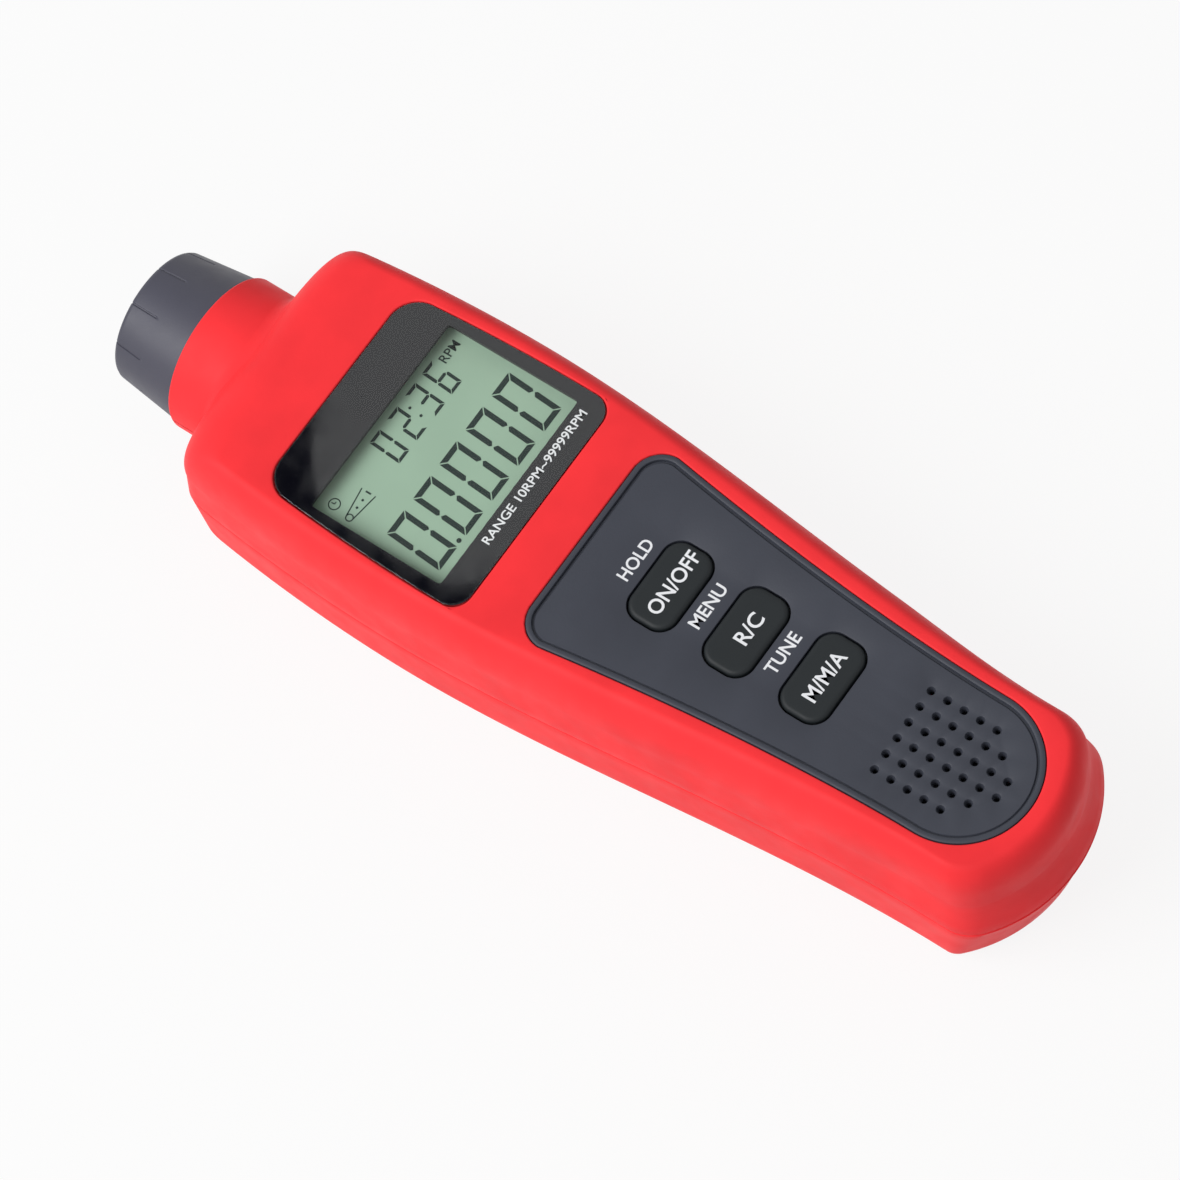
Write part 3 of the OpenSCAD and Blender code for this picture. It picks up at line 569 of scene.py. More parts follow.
def seam_rings(at, sign):
    """Rings of the groove at the parting line, from its floor to the outer surface."""
    c = at.case
    steps = [(c.seam_depth, 0.35), (c.seam_depth * 0.45, 1.0), (c.seam_depth * 0.12, 1.6), (0.0, 2.6)]
    return [case_ring(at, d, d, d, at.axis_z + sign * k * c.seam) for d, k in steps]


def upper_outside(at):
    """Upper shell from the seam over the sides: a quarter ellipse rolls them into the face."""
    c = at.case
    rings = seam_rings(at, 1)
    start = rings[-1][0, 2]
    for k in np.linspace(0, 1, 5)[1:-1]:
        rings.append(case_ring(at, c.side_lean * k, c.rear_lean * k, c.front_lean * k,
                               start + k * (at.top_z - c.face_round - start), c.tail_lean * k))
    for angle in np.linspace(0, np.pi / 2, 25):
        drop = c.face_round * (1 - math.sin(angle))
        rings.append(case_ring(at, rolled(c.side_lean, c.face_side, angle), tail_top(at, drop),
                               rolled(c.front_lean, c.face_front, angle), at.top_z - drop,
                               rolled(c.tail_lean, c.face_side, angle)))
    return np.stack(rings)


def lower_outside(at):
    """Lower shell from the seam down: the sides roll into the back, and the rear end leans in."""
    c = at.case
    rings = seam_rings(at, -1)
    start = rings[-1][0, 2]
    for k in np.linspace(0, 1, 6)[1:-1]:
        z = start + k * (c.back_round - start)
        e = c.back_lean * k
        rings.append(case_ring(at, e, e + tail_low(at, z), e, z))
    for angle in np.linspace(0, np.pi / 2, 19):
        z = c.back_round * (1 - math.sin(angle))
        e = rolled(c.back_lean, c.back_inset, angle)
        rings.append(case_ring(at, e, e + tail_low(at, z), e, z))
    return np.stack(rings)


INNER_SHARE = 0.5


def inside(at, upper):
    """Inner surface of a shell, a wall's thickness in from the outer one, seam first."""
    c = at.case
    rings = [case_ring(at, c.wall, c.wall, c.front_wall, at.axis_z + (1 if upper else -1) * 0.35 * c.seam)]
    for angle in np.linspace(0, np.pi / 2, 7):
        if upper:
            drop = c.face_round * (1 - math.sin(angle))
            rings.append(case_ring(at, c.wall + INNER_SHARE * rolled(c.side_lean, c.face_side, angle),
                                   c.wall + tail_top(at, drop),
                                   c.front_wall + INNER_SHARE * rolled(c.front_lean, c.face_front, angle),
                                   at.top_z - c.face_wall - drop))
        else:
            z = c.back_wall + c.back_round * (1 - math.sin(angle))
            e = c.wall + INNER_SHARE * rolled(c.back_lean, c.back_inset, angle)
            rings.append(case_ring(at, e, e + tail_low(at, z), e + c.front_wall - c.wall, z))
    return np.stack(rings)


CROSS_POINTS = 26


def halves(ring):
    """Splits a ring across the case into a closed front loop and a closed rear loop with one shared line."""
    n = len(ring)
    last = n // 2
    front = np.concatenate([np.arange(SPLIT, last + 1), n - np.arange(last - 1, SPLIT - 1, -1)])
    rear = np.concatenate([n - np.arange(SPLIT, 0, -1), np.arange(0, SPLIT + 1)])
    cross = np.linspace(ring[n - SPLIT], ring[SPLIT], CROSS_POINTS)[1:-1]
    return np.concatenate([ring[front], cross]), np.concatenate([ring[rear], cross[::-1]])


def window_loop(at, grow):
    """Outline of the display window, its sides bowed a little: arcs and a quadratic bend."""
    d = settings().display
    w0 = at.window_high[0] + grow
    w1 = d.front_w / 2 + grow
    y0, y1 = at.window_low[1] - grow, at.window_high[1] + grow
    r0, r1 = d.rear_r, d.front_r
    t = np.linspace(0, 1, 60)[1:-1, None]
    a, c = np.array([w0, y0 + r0]), np.array([w1, y1 - r1])
    b = np.array([w0 + 0.1 * MM, (a[1] + c[1]) / 2])
    side = (1 - t) ** 2 * a + 2 * t * (1 - t) * b + t * t * c
    rear = np.column_stack([np.linspace(0, w0 - r0, 40)[:-1], np.full(39, y0)])
    front = np.column_stack([np.linspace(w1 - r1, 0, 40)[1:], np.full(39, y1)])
    return mirrored(np.concatenate([rear, arc(w0 - r0, y0 + r0, r0, -90, 0, 24), side,
                                    arc(w1 - r1, y1 - r1, r1, 0, 90, 24), front]))


PANEL_POWER = 1.7


def panel_loop(at, grow):
    """Outline of the key panel: a round end, sides that widen by a power curve, rounded front corners."""
    p = settings().panel
    end_y = at.panel_low[1] + p.end_r
    y1 = at.panel_high[1]
    corner_y = y1 - p.corner_r

    def side(y):
        return p.end_r + (p.front_w / 2 - p.end_r) * ((y - end_y) / (y1 - end_y)) ** PANEL_POWER

    y = np.linspace(end_y, corner_y, 80)[1:-1]
    corner_x = side(corner_y) - p.corner_r
    r = p.corner_r + grow
    front = np.column_stack([np.linspace(corner_x, 0, 24)[1:], np.full(23, corner_y + r)])
    return mirrored(np.concatenate([arc(0, end_y, p.end_r + grow, -90, 0, 60),
                                    np.column_stack([side(y) + grow, y]),
                                    arc(corner_x, corner_y, r, 0, 90, 24), front]))


FIT = 0.1 * MM
LIP = 0.3 * MM


def pocket(boundary, centre, rims, ceiling):
    """Grid from a face's edge over a pocket's lip, down its wall, over its ledge and under the ceiling."""
    angles = bearings(boundary, centre)
    rows = [boundary]
    rows += [at_height(seen_from(loop, centre, angles), z) for loop, z in rims]
    return np.stack(rows + [ceiling])


def lip(outline, top_z, floor_z):
    """Loops and heights of a pocket's rounded lip and its wall."""
    a = np.radians([0, 22.5, 45, 67.5, 90])
    edge = [(outline(FIT + LIP * (1 - math.sin(t))), top_z - LIP * (1 - math.cos(t))) for t in a]
    return edge + [(outline(FIT), floor_z)]


def turned(profile, angles, axis_z):
    """Surface of revolution about the barrel's axis: profile points of radius and place along the case."""
    r, y = np.asarray(profile)[:, 0], np.asarray(profile)[:, 1]
    a = np.asarray(angles)[:, None]
    return np.stack([r * np.sin(a), np.broadcast_to(y, (len(a), len(y))), axis_z + r * np.cos(a)], -1)


def half_turn(at, low_angle):
    """Angles of half a circle about the barrel's axis, less the seam's gap at both ends."""
    gap = 0.7 * at.case.seam / at.case.collar_r
    return np.linspace(low_angle + gap, low_angle + math.pi - gap, 97)


def collar(at, low_angle):
    """Half of the collar: a closed profile with a rounded front edge, turned through half a circle."""
    c = at.case
    r, edge, inner = c.collar_r, c.collar_edge, settings().barrel.neck_r + FIT
    back = at.front_y - c.front_wall
    rim = arc(r - edge, at.collar_y - edge, edge, 0, 90, 12)
    hole = arc(inner + LIP, at.collar_y - LIP, LIP, 90, 180, 6)
    profile = np.concatenate([[[r, back]], rim, hole, [[inner, back]], [[r, back]]])
    return turned(profile, half_turn(at, low_angle), at.axis_z)


def front_depth(at, x, z):
    """How far forward the case's front lies at a place across and a height: the superellipse solved."""
    c = at.case
    up = z >= at.axis_z
    level = np.where(up, (z - (at.top_z - c.face_round)) / c.face_round, (c.back_round - z) / c.back_round)
    e = 1 - np.sqrt(1 - np.clip(level, 0, 1) ** 2)
    rise = np.clip((z - at.axis_z) / (at.top_z - c.face_round - at.axis_z), 0, 1)
    side = np.where(up, c.side_lean * rise + (c.face_side - c.side_lean) * e,
                    c.back_lean + (c.back_inset - c.back_lean) * e)
    front = np.where(up, c.front_lean * rise + (c.face_front - c.front_lean) * e, side)
    start_y, length_y = at.front_start(front)
    width = at.half_w(start_y) - side - at.front_slope() * length_y
    share = np.clip(np.abs(x) / width, 0, 0.999)
    return start_y + length_y * (1 - share ** SHOULDER_POWER) ** (1 / SHOULDER_POWER)


def collar_blend(at, low_angle):
    """Hollow blend between collar and case: at each angle a quadratic curve, tangent to collar and front."""
    c = at.case
    a = half_turn(at, low_angle)
    room = np.where(np.cos(a) > 0, at.top_z - at.axis_z, at.axis_z) / np.maximum(np.abs(np.cos(a)), 1e-3)
    size = np.minimum(c.collar_blend, 0.85 * (room - c.collar_r))
    r1 = c.collar_r + size

    def depth(r):
        return front_depth(at, r * np.sin(a), at.axis_z + r * np.cos(a))

    foot = depth(np.full_like(a, c.collar_r))
    start = np.stack([np.full_like(a, c.collar_r), foot + size], -1)
    middle = np.stack([np.full_like(a, c.collar_r), foot], -1)
    end = np.stack([r1, depth(r1)], -1)
    t = np.linspace(0, 1, 13)[None, :, None]
    curve = (1 - t) ** 2 * start[:, None] + 2 * t * (1 - t) * middle[:, None] + t * t * end[:, None]
    sunk = 0.02 * MM
    r, y = curve[..., 0] - sunk, curve[..., 1] - sunk
    return np.stack([r * np.sin(a)[:, None], y, at.axis_z + r * np.cos(a)[:, None]], -1)


class TACHOMETER_OT_upper_shell(bpy.types.Operator):
    """Upper shell with its window and panel pockets and the upper half of the collar"""
    bl_idname = "tachometer.upper_shell"
    bl_label = "Upper shell"

    def execute(self, context):
        at = Places()
        p = settings().panel
        outer, inner = upper_outside(at), inside(at, True)
        face_front, face_rear = halves(outer[-1])
        roof_front, roof_rear = halves(inner[-1])
        roof_z = inner[-1][0, 2]
        lcd_low, lcd_high = span("lcd_panel")
        lcd_centre = ((lcd_low + lcd_high) / 2)[:2]
        lcd_size = (lcd_high - lcd_low)[:2] + 2 * FIT
        opening = lcd_centre + round_rect(lcd_size[0], lcd_size[1], 0.6 * MM)
        window_floor = at.window_low[2]
        window_centre = ((at.window_low + at.window_high) / 2)[:2] * (0, 1)
        panel_floor = at.top_z - p.thickness
        panel_centre = np.array([0.0, (at.panel_low[1] + at.panel_high[1]) / 2])
        ledge = panel_loop(at, -1.6 * MM)
        window_rims = lip(lambda g: window_loop(at, g), at.top_z, window_floor)
        window_rims += [(opening, window_floor), (opening, roof_z)]
        panel_rims = lip(lambda g: panel_loop(at, g), at.top_z, panel_floor)
        panel_rims += [(ledge, panel_floor), (ledge, roof_z)]
        patches = [(outer, True), (inner, True), (np.stack([outer[0], inner[0]]), True),
                   (pocket(face_front, window_centre, window_rims, roof_front), True),
                   (pocket(face_rear, panel_centre, panel_rims, roof_rear), True),
                   (collar(at, -math.pi / 2), False), (collar_blend(at, -math.pi / 2), False)]
        make_piece("upper_case", patches, finish("red_case"), stands_for=("upper_shell",))
        return {"FINISHED"}


SCREW_SPOTS = ((18.4, 58.05), (-18.4, 58.05), (9.8, -79.15), (-9.8, -79.15))
DOOR_TONGUE = 4.5 * MM
DOOR_EDGE = 1.2 * MM
CUP_LOW, CUP_HOLE, CUP_WALL = 2.5 * MM, 1.4 * MM, 0.4 * MM


def lathe(profile, spot, steps=48):
    """Surface of revolution about an upright axis: profile points of radius and height, turned at a spot."""
    r, z = np.asarray(profile)[:, 0], np.asarray(profile)[:, 1]
    a = np.linspace(0, 2 * np.pi, steps, endpoint=False)[None]
    return np.stack([spot[0] + r[:, None] * np.cos(a), spot[1] + r[:, None] * np.sin(a),
                     np.broadcast_to(z[:, None], (len(z), steps))], -1)


def drill(piece, spots, r, top):
    """Takes upright cylinders away from a closed shell, from below it up to a height."""
    rods = [(lathe([(1e-9, -MM), (r, -MM), (r, top), (1e-9, top)], spot), True) for spot in spots]
    rod = make_piece(piece.name + "_drill", rods, finish("red_case"))
    cut = piece.modifiers.new("wells", "BOOLEAN")
    cut.operation, cut.solver, cut.object, cut.use_self = "DIFFERENCE", "EXACT", rod, True
    before = len(piece.data.polygons)
    mesh = bpy.data.meshes.new_from_object(piece.evaluated_get(bpy.context.evaluated_depsgraph_get()))
    if len(mesh.polygons) <= before:
        raise RuntimeError("The screw wells could not be cut")
    mesh.set_sharp_from_angle(angle=math.radians(30))
    piece.modifiers.clear()
    piece.data = mesh
    bpy.data.objects.remove(rod)


class TACHOMETER_OT_lower_shell(bpy.types.Operator):
    """Lower shell with the pocket of the battery door and the lower half of the collar"""
    bl_idname = "tachometer.lower_shell"
    bl_label = "Lower shell"

    def execute(self, context):
        at = Places()
        outer, inner = lower_outside(at), inside(at, False)
        door_low, door_high = span("battery_door")
        centre = np.array([0.0, (door_low[1] + door_high[1]) / 2])
        tongue = DOOR_TONGUE + FIT
        plate_y = span("door_screw")[1][1] + DOOR_EDGE + FIT
        w = door_high[0] + FIT
        y0, y1 = door_low[1] - FIT, door_high[1] + FIT
        corners = np.array([[0, y0], [tongue, y0], [tongue, plate_y], [w, plate_y], [w, y1], [0, y1]])
        edges = [np.linspace(a, b, 80)[:-1] for a, b in zip(corners, corners[1:])]
        loop = mirrored(np.concatenate(edges + [corners[-1:]]))
        floor_z = door_high[2] + FIT
        mouth = seen_from(loop, centre, bearings(outer[-1], centre))
        rows = [outer[-1], at_height(mouth, 0.0), at_height(mouth, floor_z)]
        patches = [(outer, True), (inner, True), (np.stack([outer[0], inner[0]]), True),
                   (np.stack(rows), True), (fan(mouth, floor_z, centre), True),
                   (fan(inner[-1][:, :2], inner[-1][0, 2], centre), True)]
        shell = make_piece("lower_case", patches, finish("red_case"),
                           stands_for=("lower_shell",))
        r, floor = at.case.well_d / 2, at.case.well_depth
        spots = np.array(SCREW_SPOTS) * MM
        drill(shell, spots, r, floor)
        cup = [(r, CUP_LOW), (r, floor), (CUP_HOLE, floor), (CUP_HOLE, floor + MM),
               (r + CUP_WALL, floor + MM), (r + CUP_WALL, CUP_LOW), (r, CUP_LOW)]
        fittings = [(lathe(cup, spot), True) for spot in spots]
        fittings += [(collar(at, math.pi / 2), False), (collar_blend(at, math.pi / 2), False)]
        make_piece("lower_fittings", fittings, finish("red_case"))
        return {"FINISHED"}


BORE_R = 10.4 * MM
BARREL_STEP = 0.9 * MM
SEAT_L, FLANGE_L = 5.4 * MM, 2 * MM
GROOVE_SOFT, GROOVE_RUN_IN = 0.12 * MM, 0.5 * MM


class TACHOMETER_OT_barrel(bpy.types.Operator):
    """Tapered barrel, its radius cut back by short grooves at the front edge"""
    bl_idname = "tachometer.barrel"
    bl_label = "Barrel"

    def execute(self, context):
        at = Places()
        b = settings().barrel
        low_y = span("barrel")[0][1]
        lens_low = span("front_lens")[0][1]
        front = np.linspace(at.collar_y + FIT, at.tip_y - b.edge, 60)
        cone = b.base_r + (b.tip_r - b.base_r) * (front - at.collar_y) / (at.tip_y - at.collar_y)
        outside = np.column_stack([cone, front])
        edge = arc(b.tip_r - b.edge, at.tip_y - b.edge, b.edge, 0, 90, 8)[1:]
        mouth = arc(b.mouth_r + LIP, at.tip_y - LIP, LIP, 90, 180, 6)
        seat, seat_y = b.mouth_r - BARREL_STEP, lens_low - SEAT_L
        flange, flange_y = b.neck_r + BARREL_STEP, low_y + FLANGE_L
        inner = [[b.mouth_r, lens_low], [seat, lens_low], [seat, seat_y], [BORE_R, seat_y], [BORE_R, low_y],
                 [flange, low_y], [flange, flange_y], [b.neck_r, flange_y], [b.neck_r, front[0]],
                 [b.base_r - 0.15 * MM, front[0]], [b.base_r, front[0]]]
        profile = np.concatenate([outside, edge, mouth, inner])
        angles = np.linspace(0, 2 * np.pi, 721)[:-1]
        grid = turned(profile, angles, at.axis_z)
        pitch = 2 * np.pi / b.groove_count
        across = np.abs((angles / pitch) % 1 - 0.5) * pitch * b.tip_r
        cut = np.clip((b.groove_w / 2 - across) / GROOVE_SOFT + 0.5, 0, 1)
        along = np.clip((profile[:, 1] - (at.tip_y - b.groove_l)) / GROOVE_RUN_IN, 0, 1)
        along[len(outside) + len(edge):] = 0
        depth = b.groove_depth * cut[:, None] * along[None, :]
        grid[..., 0] -= depth * np.sin(angles)[:, None]
        grid[..., 2] -= depth * np.cos(angles)[:, None]
        make_piece("optics_barrel", [(grid.transpose(1, 0, 2), True)], finish("barrel_black"),
                   stands_for=("barrel",))
        return {"FINISHED"}


def key_centre(node):
    """Middle of a key seen from above, its size without flange, and the height of its top."""
    low, high = span(node)
    p = settings().panel
    size = high[:2] - low[:2] - 2 * p.key_flange - (p.key_trim, 0)
    return (low[:2] + high[:2]) / 2 + (p.key_shift, 0), size, high[2]


GRILLE_COUNTS = (7, 6, 5)
FLARE_DEPTH = 0.7 * MM
RIM_FALL = 0.35 * MM


class TACHOMETER_OT_key_panel(bpy.types.Operator):
    """Charcoal key panel: rim and groove carried round its outline, a plate with key and sounder holes"""
    bl_idname = "tachometer.key_panel"
    bl_label = "Key panel"

    def execute(self, context):
        at = Places()
        p = settings().panel
        top = at.top_z
        plate_z, low_z = top - p.sunk, top - p.thickness
        groove_z = plate_z - p.groove_depth
        soft, bend = 0.15 * MM, 0.1 * MM
        inner = -p.rim - p.groove_w
        profile = [(0, low_z), (0, top - LIP), (-0.3 * LIP, top - 0.3 * LIP), (-LIP, top),
                   (-p.rim + RIM_FALL, top), (-p.rim + bend, top - bend), (-p.rim, top - RIM_FALL),
                   (-p.rim, groove_z), (inner, groove_z), (inner, plate_z - soft), (inner - soft, plate_z)]
        rim = np.stack([at_height(panel_loop(at, g), z) for g, z in profile])
        openings = []
        for node in KEYS:
            centre, size, _ = key_centre(node)
            openings.append(lambda g, c=centre, s=size: c + round_rect(
                *(s + 2 * (p.slide_fit + g)), p.key_corner_r + p.slide_fit + g))
        turn = np.linspace(0, 2 * np.pi, 33)[:-1]
        circle = np.column_stack([np.cos(turn), np.sin(turn)])
        first = at.panel_low[1] + p.grille_rear + (GRILLE_COUNTS[0] - 1) * p.grille_pitch
        for column, count in enumerate(GRILLE_COUNTS):
            for row in range(count):
                for sign in (-1, 1):
                    spot = np.array([sign * (column + 0.5) * p.grille_pitch, first - row * p.grille_pitch])
                    openings.append(lambda g, c=spot: c + (p.grille_d / 2 + g) * circle)
        holes = [(hole, 0.0 if i < len(KEYS) else p.grille_flare) for i, hole in enumerate(openings)]
        walls = [np.stack([at_height(hole(soft), plate_z), at_height(hole(0.3 * soft), plate_z - 0.3 * soft),
                           at_height(hole(0), plate_z - soft), at_height(hole(-flare), plate_z - FLARE_DEPTH),
                           at_height(hole(-flare), low_z)]) for hole, flare in holes]
        flats = [flat_with_holes(panel_loop(at, inner - soft), [hole(soft) for hole, _ in holes], plate_z),
                 flat_with_holes(panel_loop(at, 0), [hole(-flare) for hole, flare in holes], low_z)]
        make_piece("key_panel", [(rim, True)] + [(w, True) for w in walls], finish("panel_charcoal"),
                   stands_for=("keypad_panel",), flats=flats)
        return {"FINISHED"}


class TACHOMETER_OT_keys(bpy.types.Operator):
    """Three soft keys: a flange, a straight skirt, a rounded edge and a level top"""
    bl_idname = "tachometer.keys"
    bl_label = "Keys"

    def execute(self, context):
        p = settings().panel
        skirt = Places().top_z - p.thickness - FIT
        flange_z = skirt - MM
        for node, body in KEYS.items():
            centre, size, high_z = key_centre(node)

            def loop(grow, c=centre, s=size):
                return c + round_rect(*(s + 2 * grow), p.key_corner_r + min(grow, 0))

            rows = [at_height(loop(p.key_flange), flange_z), at_height(loop(p.key_flange), skirt),
                    at_height(loop(0), skirt)]
            for a in np.linspace(0, np.pi / 2, 9):
                rows.append(at_height(loop(-p.key_round * (1 - math.cos(a))),
                                      high_z - p.key_round * (1 - math.sin(a))))
            top = fan(rows[-1][:, :2], high_z, centre)
            foot = fan(rows[0][:, :2], flange_z, centre)
            make_piece(node.replace("_key", "_cap"), [(np.stack(rows), True), (top, True), (foot, True)],
                       finish("key_black"), body=body, stands_for=(node,))
        return {"FINISHED"}


SEGMENTS = {"0": "abcdef", "2": "abged", "3": "abgcd", "6": "acdefg"}


def digit(figure, corner, w, h, t, slant):
    """Polygons of one seven-segment figure: chamfered bars in a frame, sheared by the slant."""
    g = 0.16 * t
    m = h / 2
    bars = {
        "a": [(g, h), (w - g, h), (w - t - g, h - t), (t + g, h - t)],
        "d": [(g, 0), (t + g, t), (w - t - g, t), (w - g, 0)],
        "g": [(t / 2 + g, m), (t + g, m + t / 2), (w - t - g, m + t / 2), (w - t / 2 - g, m),
              (w - t - g, m - t / 2), (t + g, m - t / 2)],
        "f": [(0, h - g), (t, h - t - g), (t, m + t / 2 + g), (t / 3, m + g), (0, m + t / 2.5 + g)],
        "e": [(0, g), (t, t + g), (t, m - t / 2 - g), (t / 3, m - g), (0, m - t / 2.5 - g)],
    }
    bars["b"] = [(w - x, y) for x, y in bars["f"]]
    bars["c"] = [(w - x, y) for x, y in bars["e"]]
    shapes = [np.array(bars[s]) for s in SEGMENTS[figure]]
    return [np.column_stack([corner[0] + s[:, 0] + slant * s[:, 1], corner[1] + s[:, 1]]) for s in shapes]


def bar(start, end, thick):
    """Rectangle along a line."""
    start, end = np.asarray(start, float), np.asarray(end, float)
    along = (end - start) / np.hypot(*(end - start))
    across = np.array([-along[1], along[0]]) * thick / 2
    return np.array([start - across, end - across, end + across, start + across])


def dot(centre, r, steps=20):
    """Small disc as a polygon."""
    return arc(centre[0], centre[1], r, 0, 360 * (1 - 1 / steps), steps)


def slabs(shapes, z0, z1):
    """Thin closed slabs over polygons, as flat patches."""
    made = []
    for s in shapes:
        n = len(s)
        points = np.concatenate([at_height(s, z0), at_height(s, z1)])
        sides = [[i, (i + 1) % n, n + (i + 1) % n, n + i] for i in range(n)]
        made.append((points, [list(range(n))[::-1], list(range(n, 2 * n))] + sides))
    return made


def band(outer, inner, z0, z1):
    """Closed ring of square section between two loops and two heights."""
    return np.stack([at_height(outer, z0), at_height(outer, z1), at_height(inner, z1), at_height(inner, z0),
                     at_height(outer, z0)])


LCD_INK = 0.03 * MM
# Figures on the glass: their left edges, lower edge, width, height and stroke, in millimetres
FIGURES = (("00000", (-15.75, -8.82, -1.89, 5.04, 11.97), 17.15, 4.75, 10.85, 0.95),
           ("0236", (-4.45, 0.2, 5.0, 9.5), 33.4, 2.75, 6.2, 0.56))
# Points between them: middle and radius, in millimetres
POINTS = (((-10.0, 17.6), 0.42), ((4.15, 37.7), 0.26), ((4.0, 35.4), 0.26))


class TACHOMETER_OT_display(bpy.types.Operator):
    """Clear window with its black printed border, the glass below it and the figures that it shows"""
    bl_idname = "tachometer.display"
    bl_label = "Display"

    def execute(self, context):
        at = Places()
        d = settings().display
        centre = ((at.window_low + at.window_high) / 2)[:2] * (0, 1)
        top, low = at.window_high[2], at.window_low[2]
        edge = 0.25 * MM
        rows = [at_height(window_loop(at, 0), low), at_height(window_loop(at, 0), top - edge)]
        rows += [at_height(window_loop(at, -edge * (1 - math.cos(a))), top - edge * (1 - math.sin(a)))
                 for a in np.linspace(0, np.pi / 2, 6)[1:]]
        rows.append(at_height(window_loop(at, -edge - 0.04 * MM), top))
        plate = [np.stack(rows), fan(rows[-1][:, :2], top, centre, 5), fan(rows[0][:, :2], low, centre, 5)]
        make_piece("window_plate", [(grid, True) for grid in plate], finish("window_clear"),
                   stands_for=("display_window",))
        field = centre - (0, d.clear_back) + round_rect(d.clear_w, d.clear_l, 0.5 * MM)
        border = window_loop(at, -0.08 * MM)
        inner = seen_from(field, centre, bearings(border, centre))
        ink0, ink1 = top - 0.14 * MM, top - 0.12 * MM
        make_piece("window_border", [(band(border, inner, ink0, ink1), True)], finish("print_black"))
        glass_low, glass_high = span("lcd_panel")
        middle = ((glass_low + glass_high) / 2)[:2]
        size = (glass_high - glass_low)[:2]
        loop = middle + round_rect(*size, 0.4 * MM)
        bevel = 0.1 * MM
        rim = middle + round_rect(*(size - 2 * bevel), 0.4 * MM)
        walls = np.stack([at_height(loop, glass_low[2]), at_height(loop, glass_high[2] - bevel),
                          at_height(rim, glass_high[2])])
        make_piece("liquid_crystal_glass", [(walls, True), (fan(rim, glass_high[2], middle), True),
                                            (fan(loop, glass_low[2], middle), True)],
                   finish("lcd_glass"), stands_for=("lcd_panel",))
        gap, wide = 0.05 * MM, 0.45 * MM
        mask = [middle + round_rect(*(size + 2 * (FIT - k)), 0.6 * MM) for k in (gap, wide)]
        sleeve = band(*mask, glass_high[2] + gap, low - 0.02 * MM)
        make_piece("window_mask", [(sleeve, True)], finish("contact_rubber"))
        slant = math.tan(d.tilt)
        shapes = []
        for row, lefts, y, w, h, stroke in FIGURES:
            for figure, x in zip(row, lefts):
                shapes += digit(figure, (x * MM, y * MM), w * MM, h * MM, stroke * MM, slant)
        shapes += [dot((x * MM, y * MM), r * MM) for (x, y), r in POINTS]
        shapes += self.icons()
        z = glass_high[2]
        make_piece("shown_figures", [], finish("lcd_segment"),
                   flats=slabs(shapes, z + LCD_INK / 3, z + LCD_INK), crease=20)
        make_words("shown_unit", [("RPM", (15.3, 38.15), (4.0, 1.6))], z + LCD_INK, finish("lcd_segment"),
                   CASE, 0.008)
        make_words("window_words", [("RANGE 10RPM~99999RPM", (4.2, 12.75), (26.2, 1.55))], ink1 + INK,
                   finish("print_white"), CASE, 0.012)
        return {"FINISHED"}

    def icons(self):
        """Clock and light-beam signs as thin polygons."""
        clock = np.array((-15.4, 38.0)) * MM
        beam = np.array((-16.0, 34.6)) * MM
        shapes = []
        for c, r in ((clock, 0.95 * MM), (beam, 0.6 * MM)):
            turn = np.linspace(0, 2 * np.pi, 25)
            points = c + r * np.column_stack([np.cos(turn), np.sin(turn)])
            shapes += [bar(a, b, 0.2 * MM) for a, b in zip(points, points[1:])]
        shapes += [bar(clock, clock + np.array((0, 0.6)) * MM, 0.18 * MM),
                   bar(clock, clock + np.array((0.45, 0)) * MM, 0.18 * MM)]
        for sign in (-1, 1):
            near, far = beam + np.array(((0.1, 0.62 * sign), (5.1, 1.35 * sign))) * MM
            shapes.append(bar(near, far, 0.2 * MM))
        shapes += [dot(beam + np.array((x, 0)) * MM, 0.22 * MM) for x in (2.0, 3.5)]
        shapes.append(bar(beam + np.array((5.0, -0.5)) * MM, beam + np.array((5.0, 0.5)) * MM, 0.3 * MM))
        return shapes


INK = 0.02 * MM
# Words on the panel: middle and size, in millimetres
PANEL_WORDS = (("HOLD", (1.25, -8.7), (7.4, 2.2)), ("MENU", (0.85, -22.7), (7.9, 2.2)),
               ("TUNE", (0.6, -36.9), (7.4, 2.2)))
# Words on the keys: place across and width, in millimetres
KEY_WORDS = {"power_key": ("ON/OFF", 1.1, 11.6), "menu_key": ("R/C", 1.05, 5.3),
             "tune_key": ("M/M/A", 0.75, 8.9)}


def make_words(name, labels, z, material, body, thicken):
    """Words as thin meshes, each fitted to its box, which is a middle and a size in millimetres."""
    points, faces, start = [], [], 0
    for text, middle, size in labels:
        curve = bpy.data.curves.new(name, "FONT")
        curve.body = text
        curve.offset = thicken
        curve.extrude = 0.01
        curve.resolution_u = 4
        letters = bpy.data.objects.new(name + "_text", curve)
        bpy.context.scene.collection.objects.link(letters)
        shown = letters.evaluated_get(bpy.context.evaluated_depsgraph_get())
        mesh = bpy.data.meshes.new_from_object(shown)
        co = np.zeros(len(mesh.vertices) * 3)
        mesh.vertices.foreach_get("co", co)
        co = co.reshape(-1, 3)
        low, high = co.min(0), co.max(0)
        share = (co - (low + high) / 2) / (high - low)
        co = np.column_stack([share[:, :2] * np.array(size) * MM + np.array(middle) * MM,
                              z + (share[:, 2] + 0.5) * INK])
        points.append(co)
        faces += [[start + i for i in p.vertices] for p in mesh.polygons]
        start += len(co)
        bpy.data.objects.remove(letters)
        bpy.data.meshes.remove(mesh)
    return make_piece(name, [], material, body, flats=[(np.concatenate(points), faces)], crease=20)


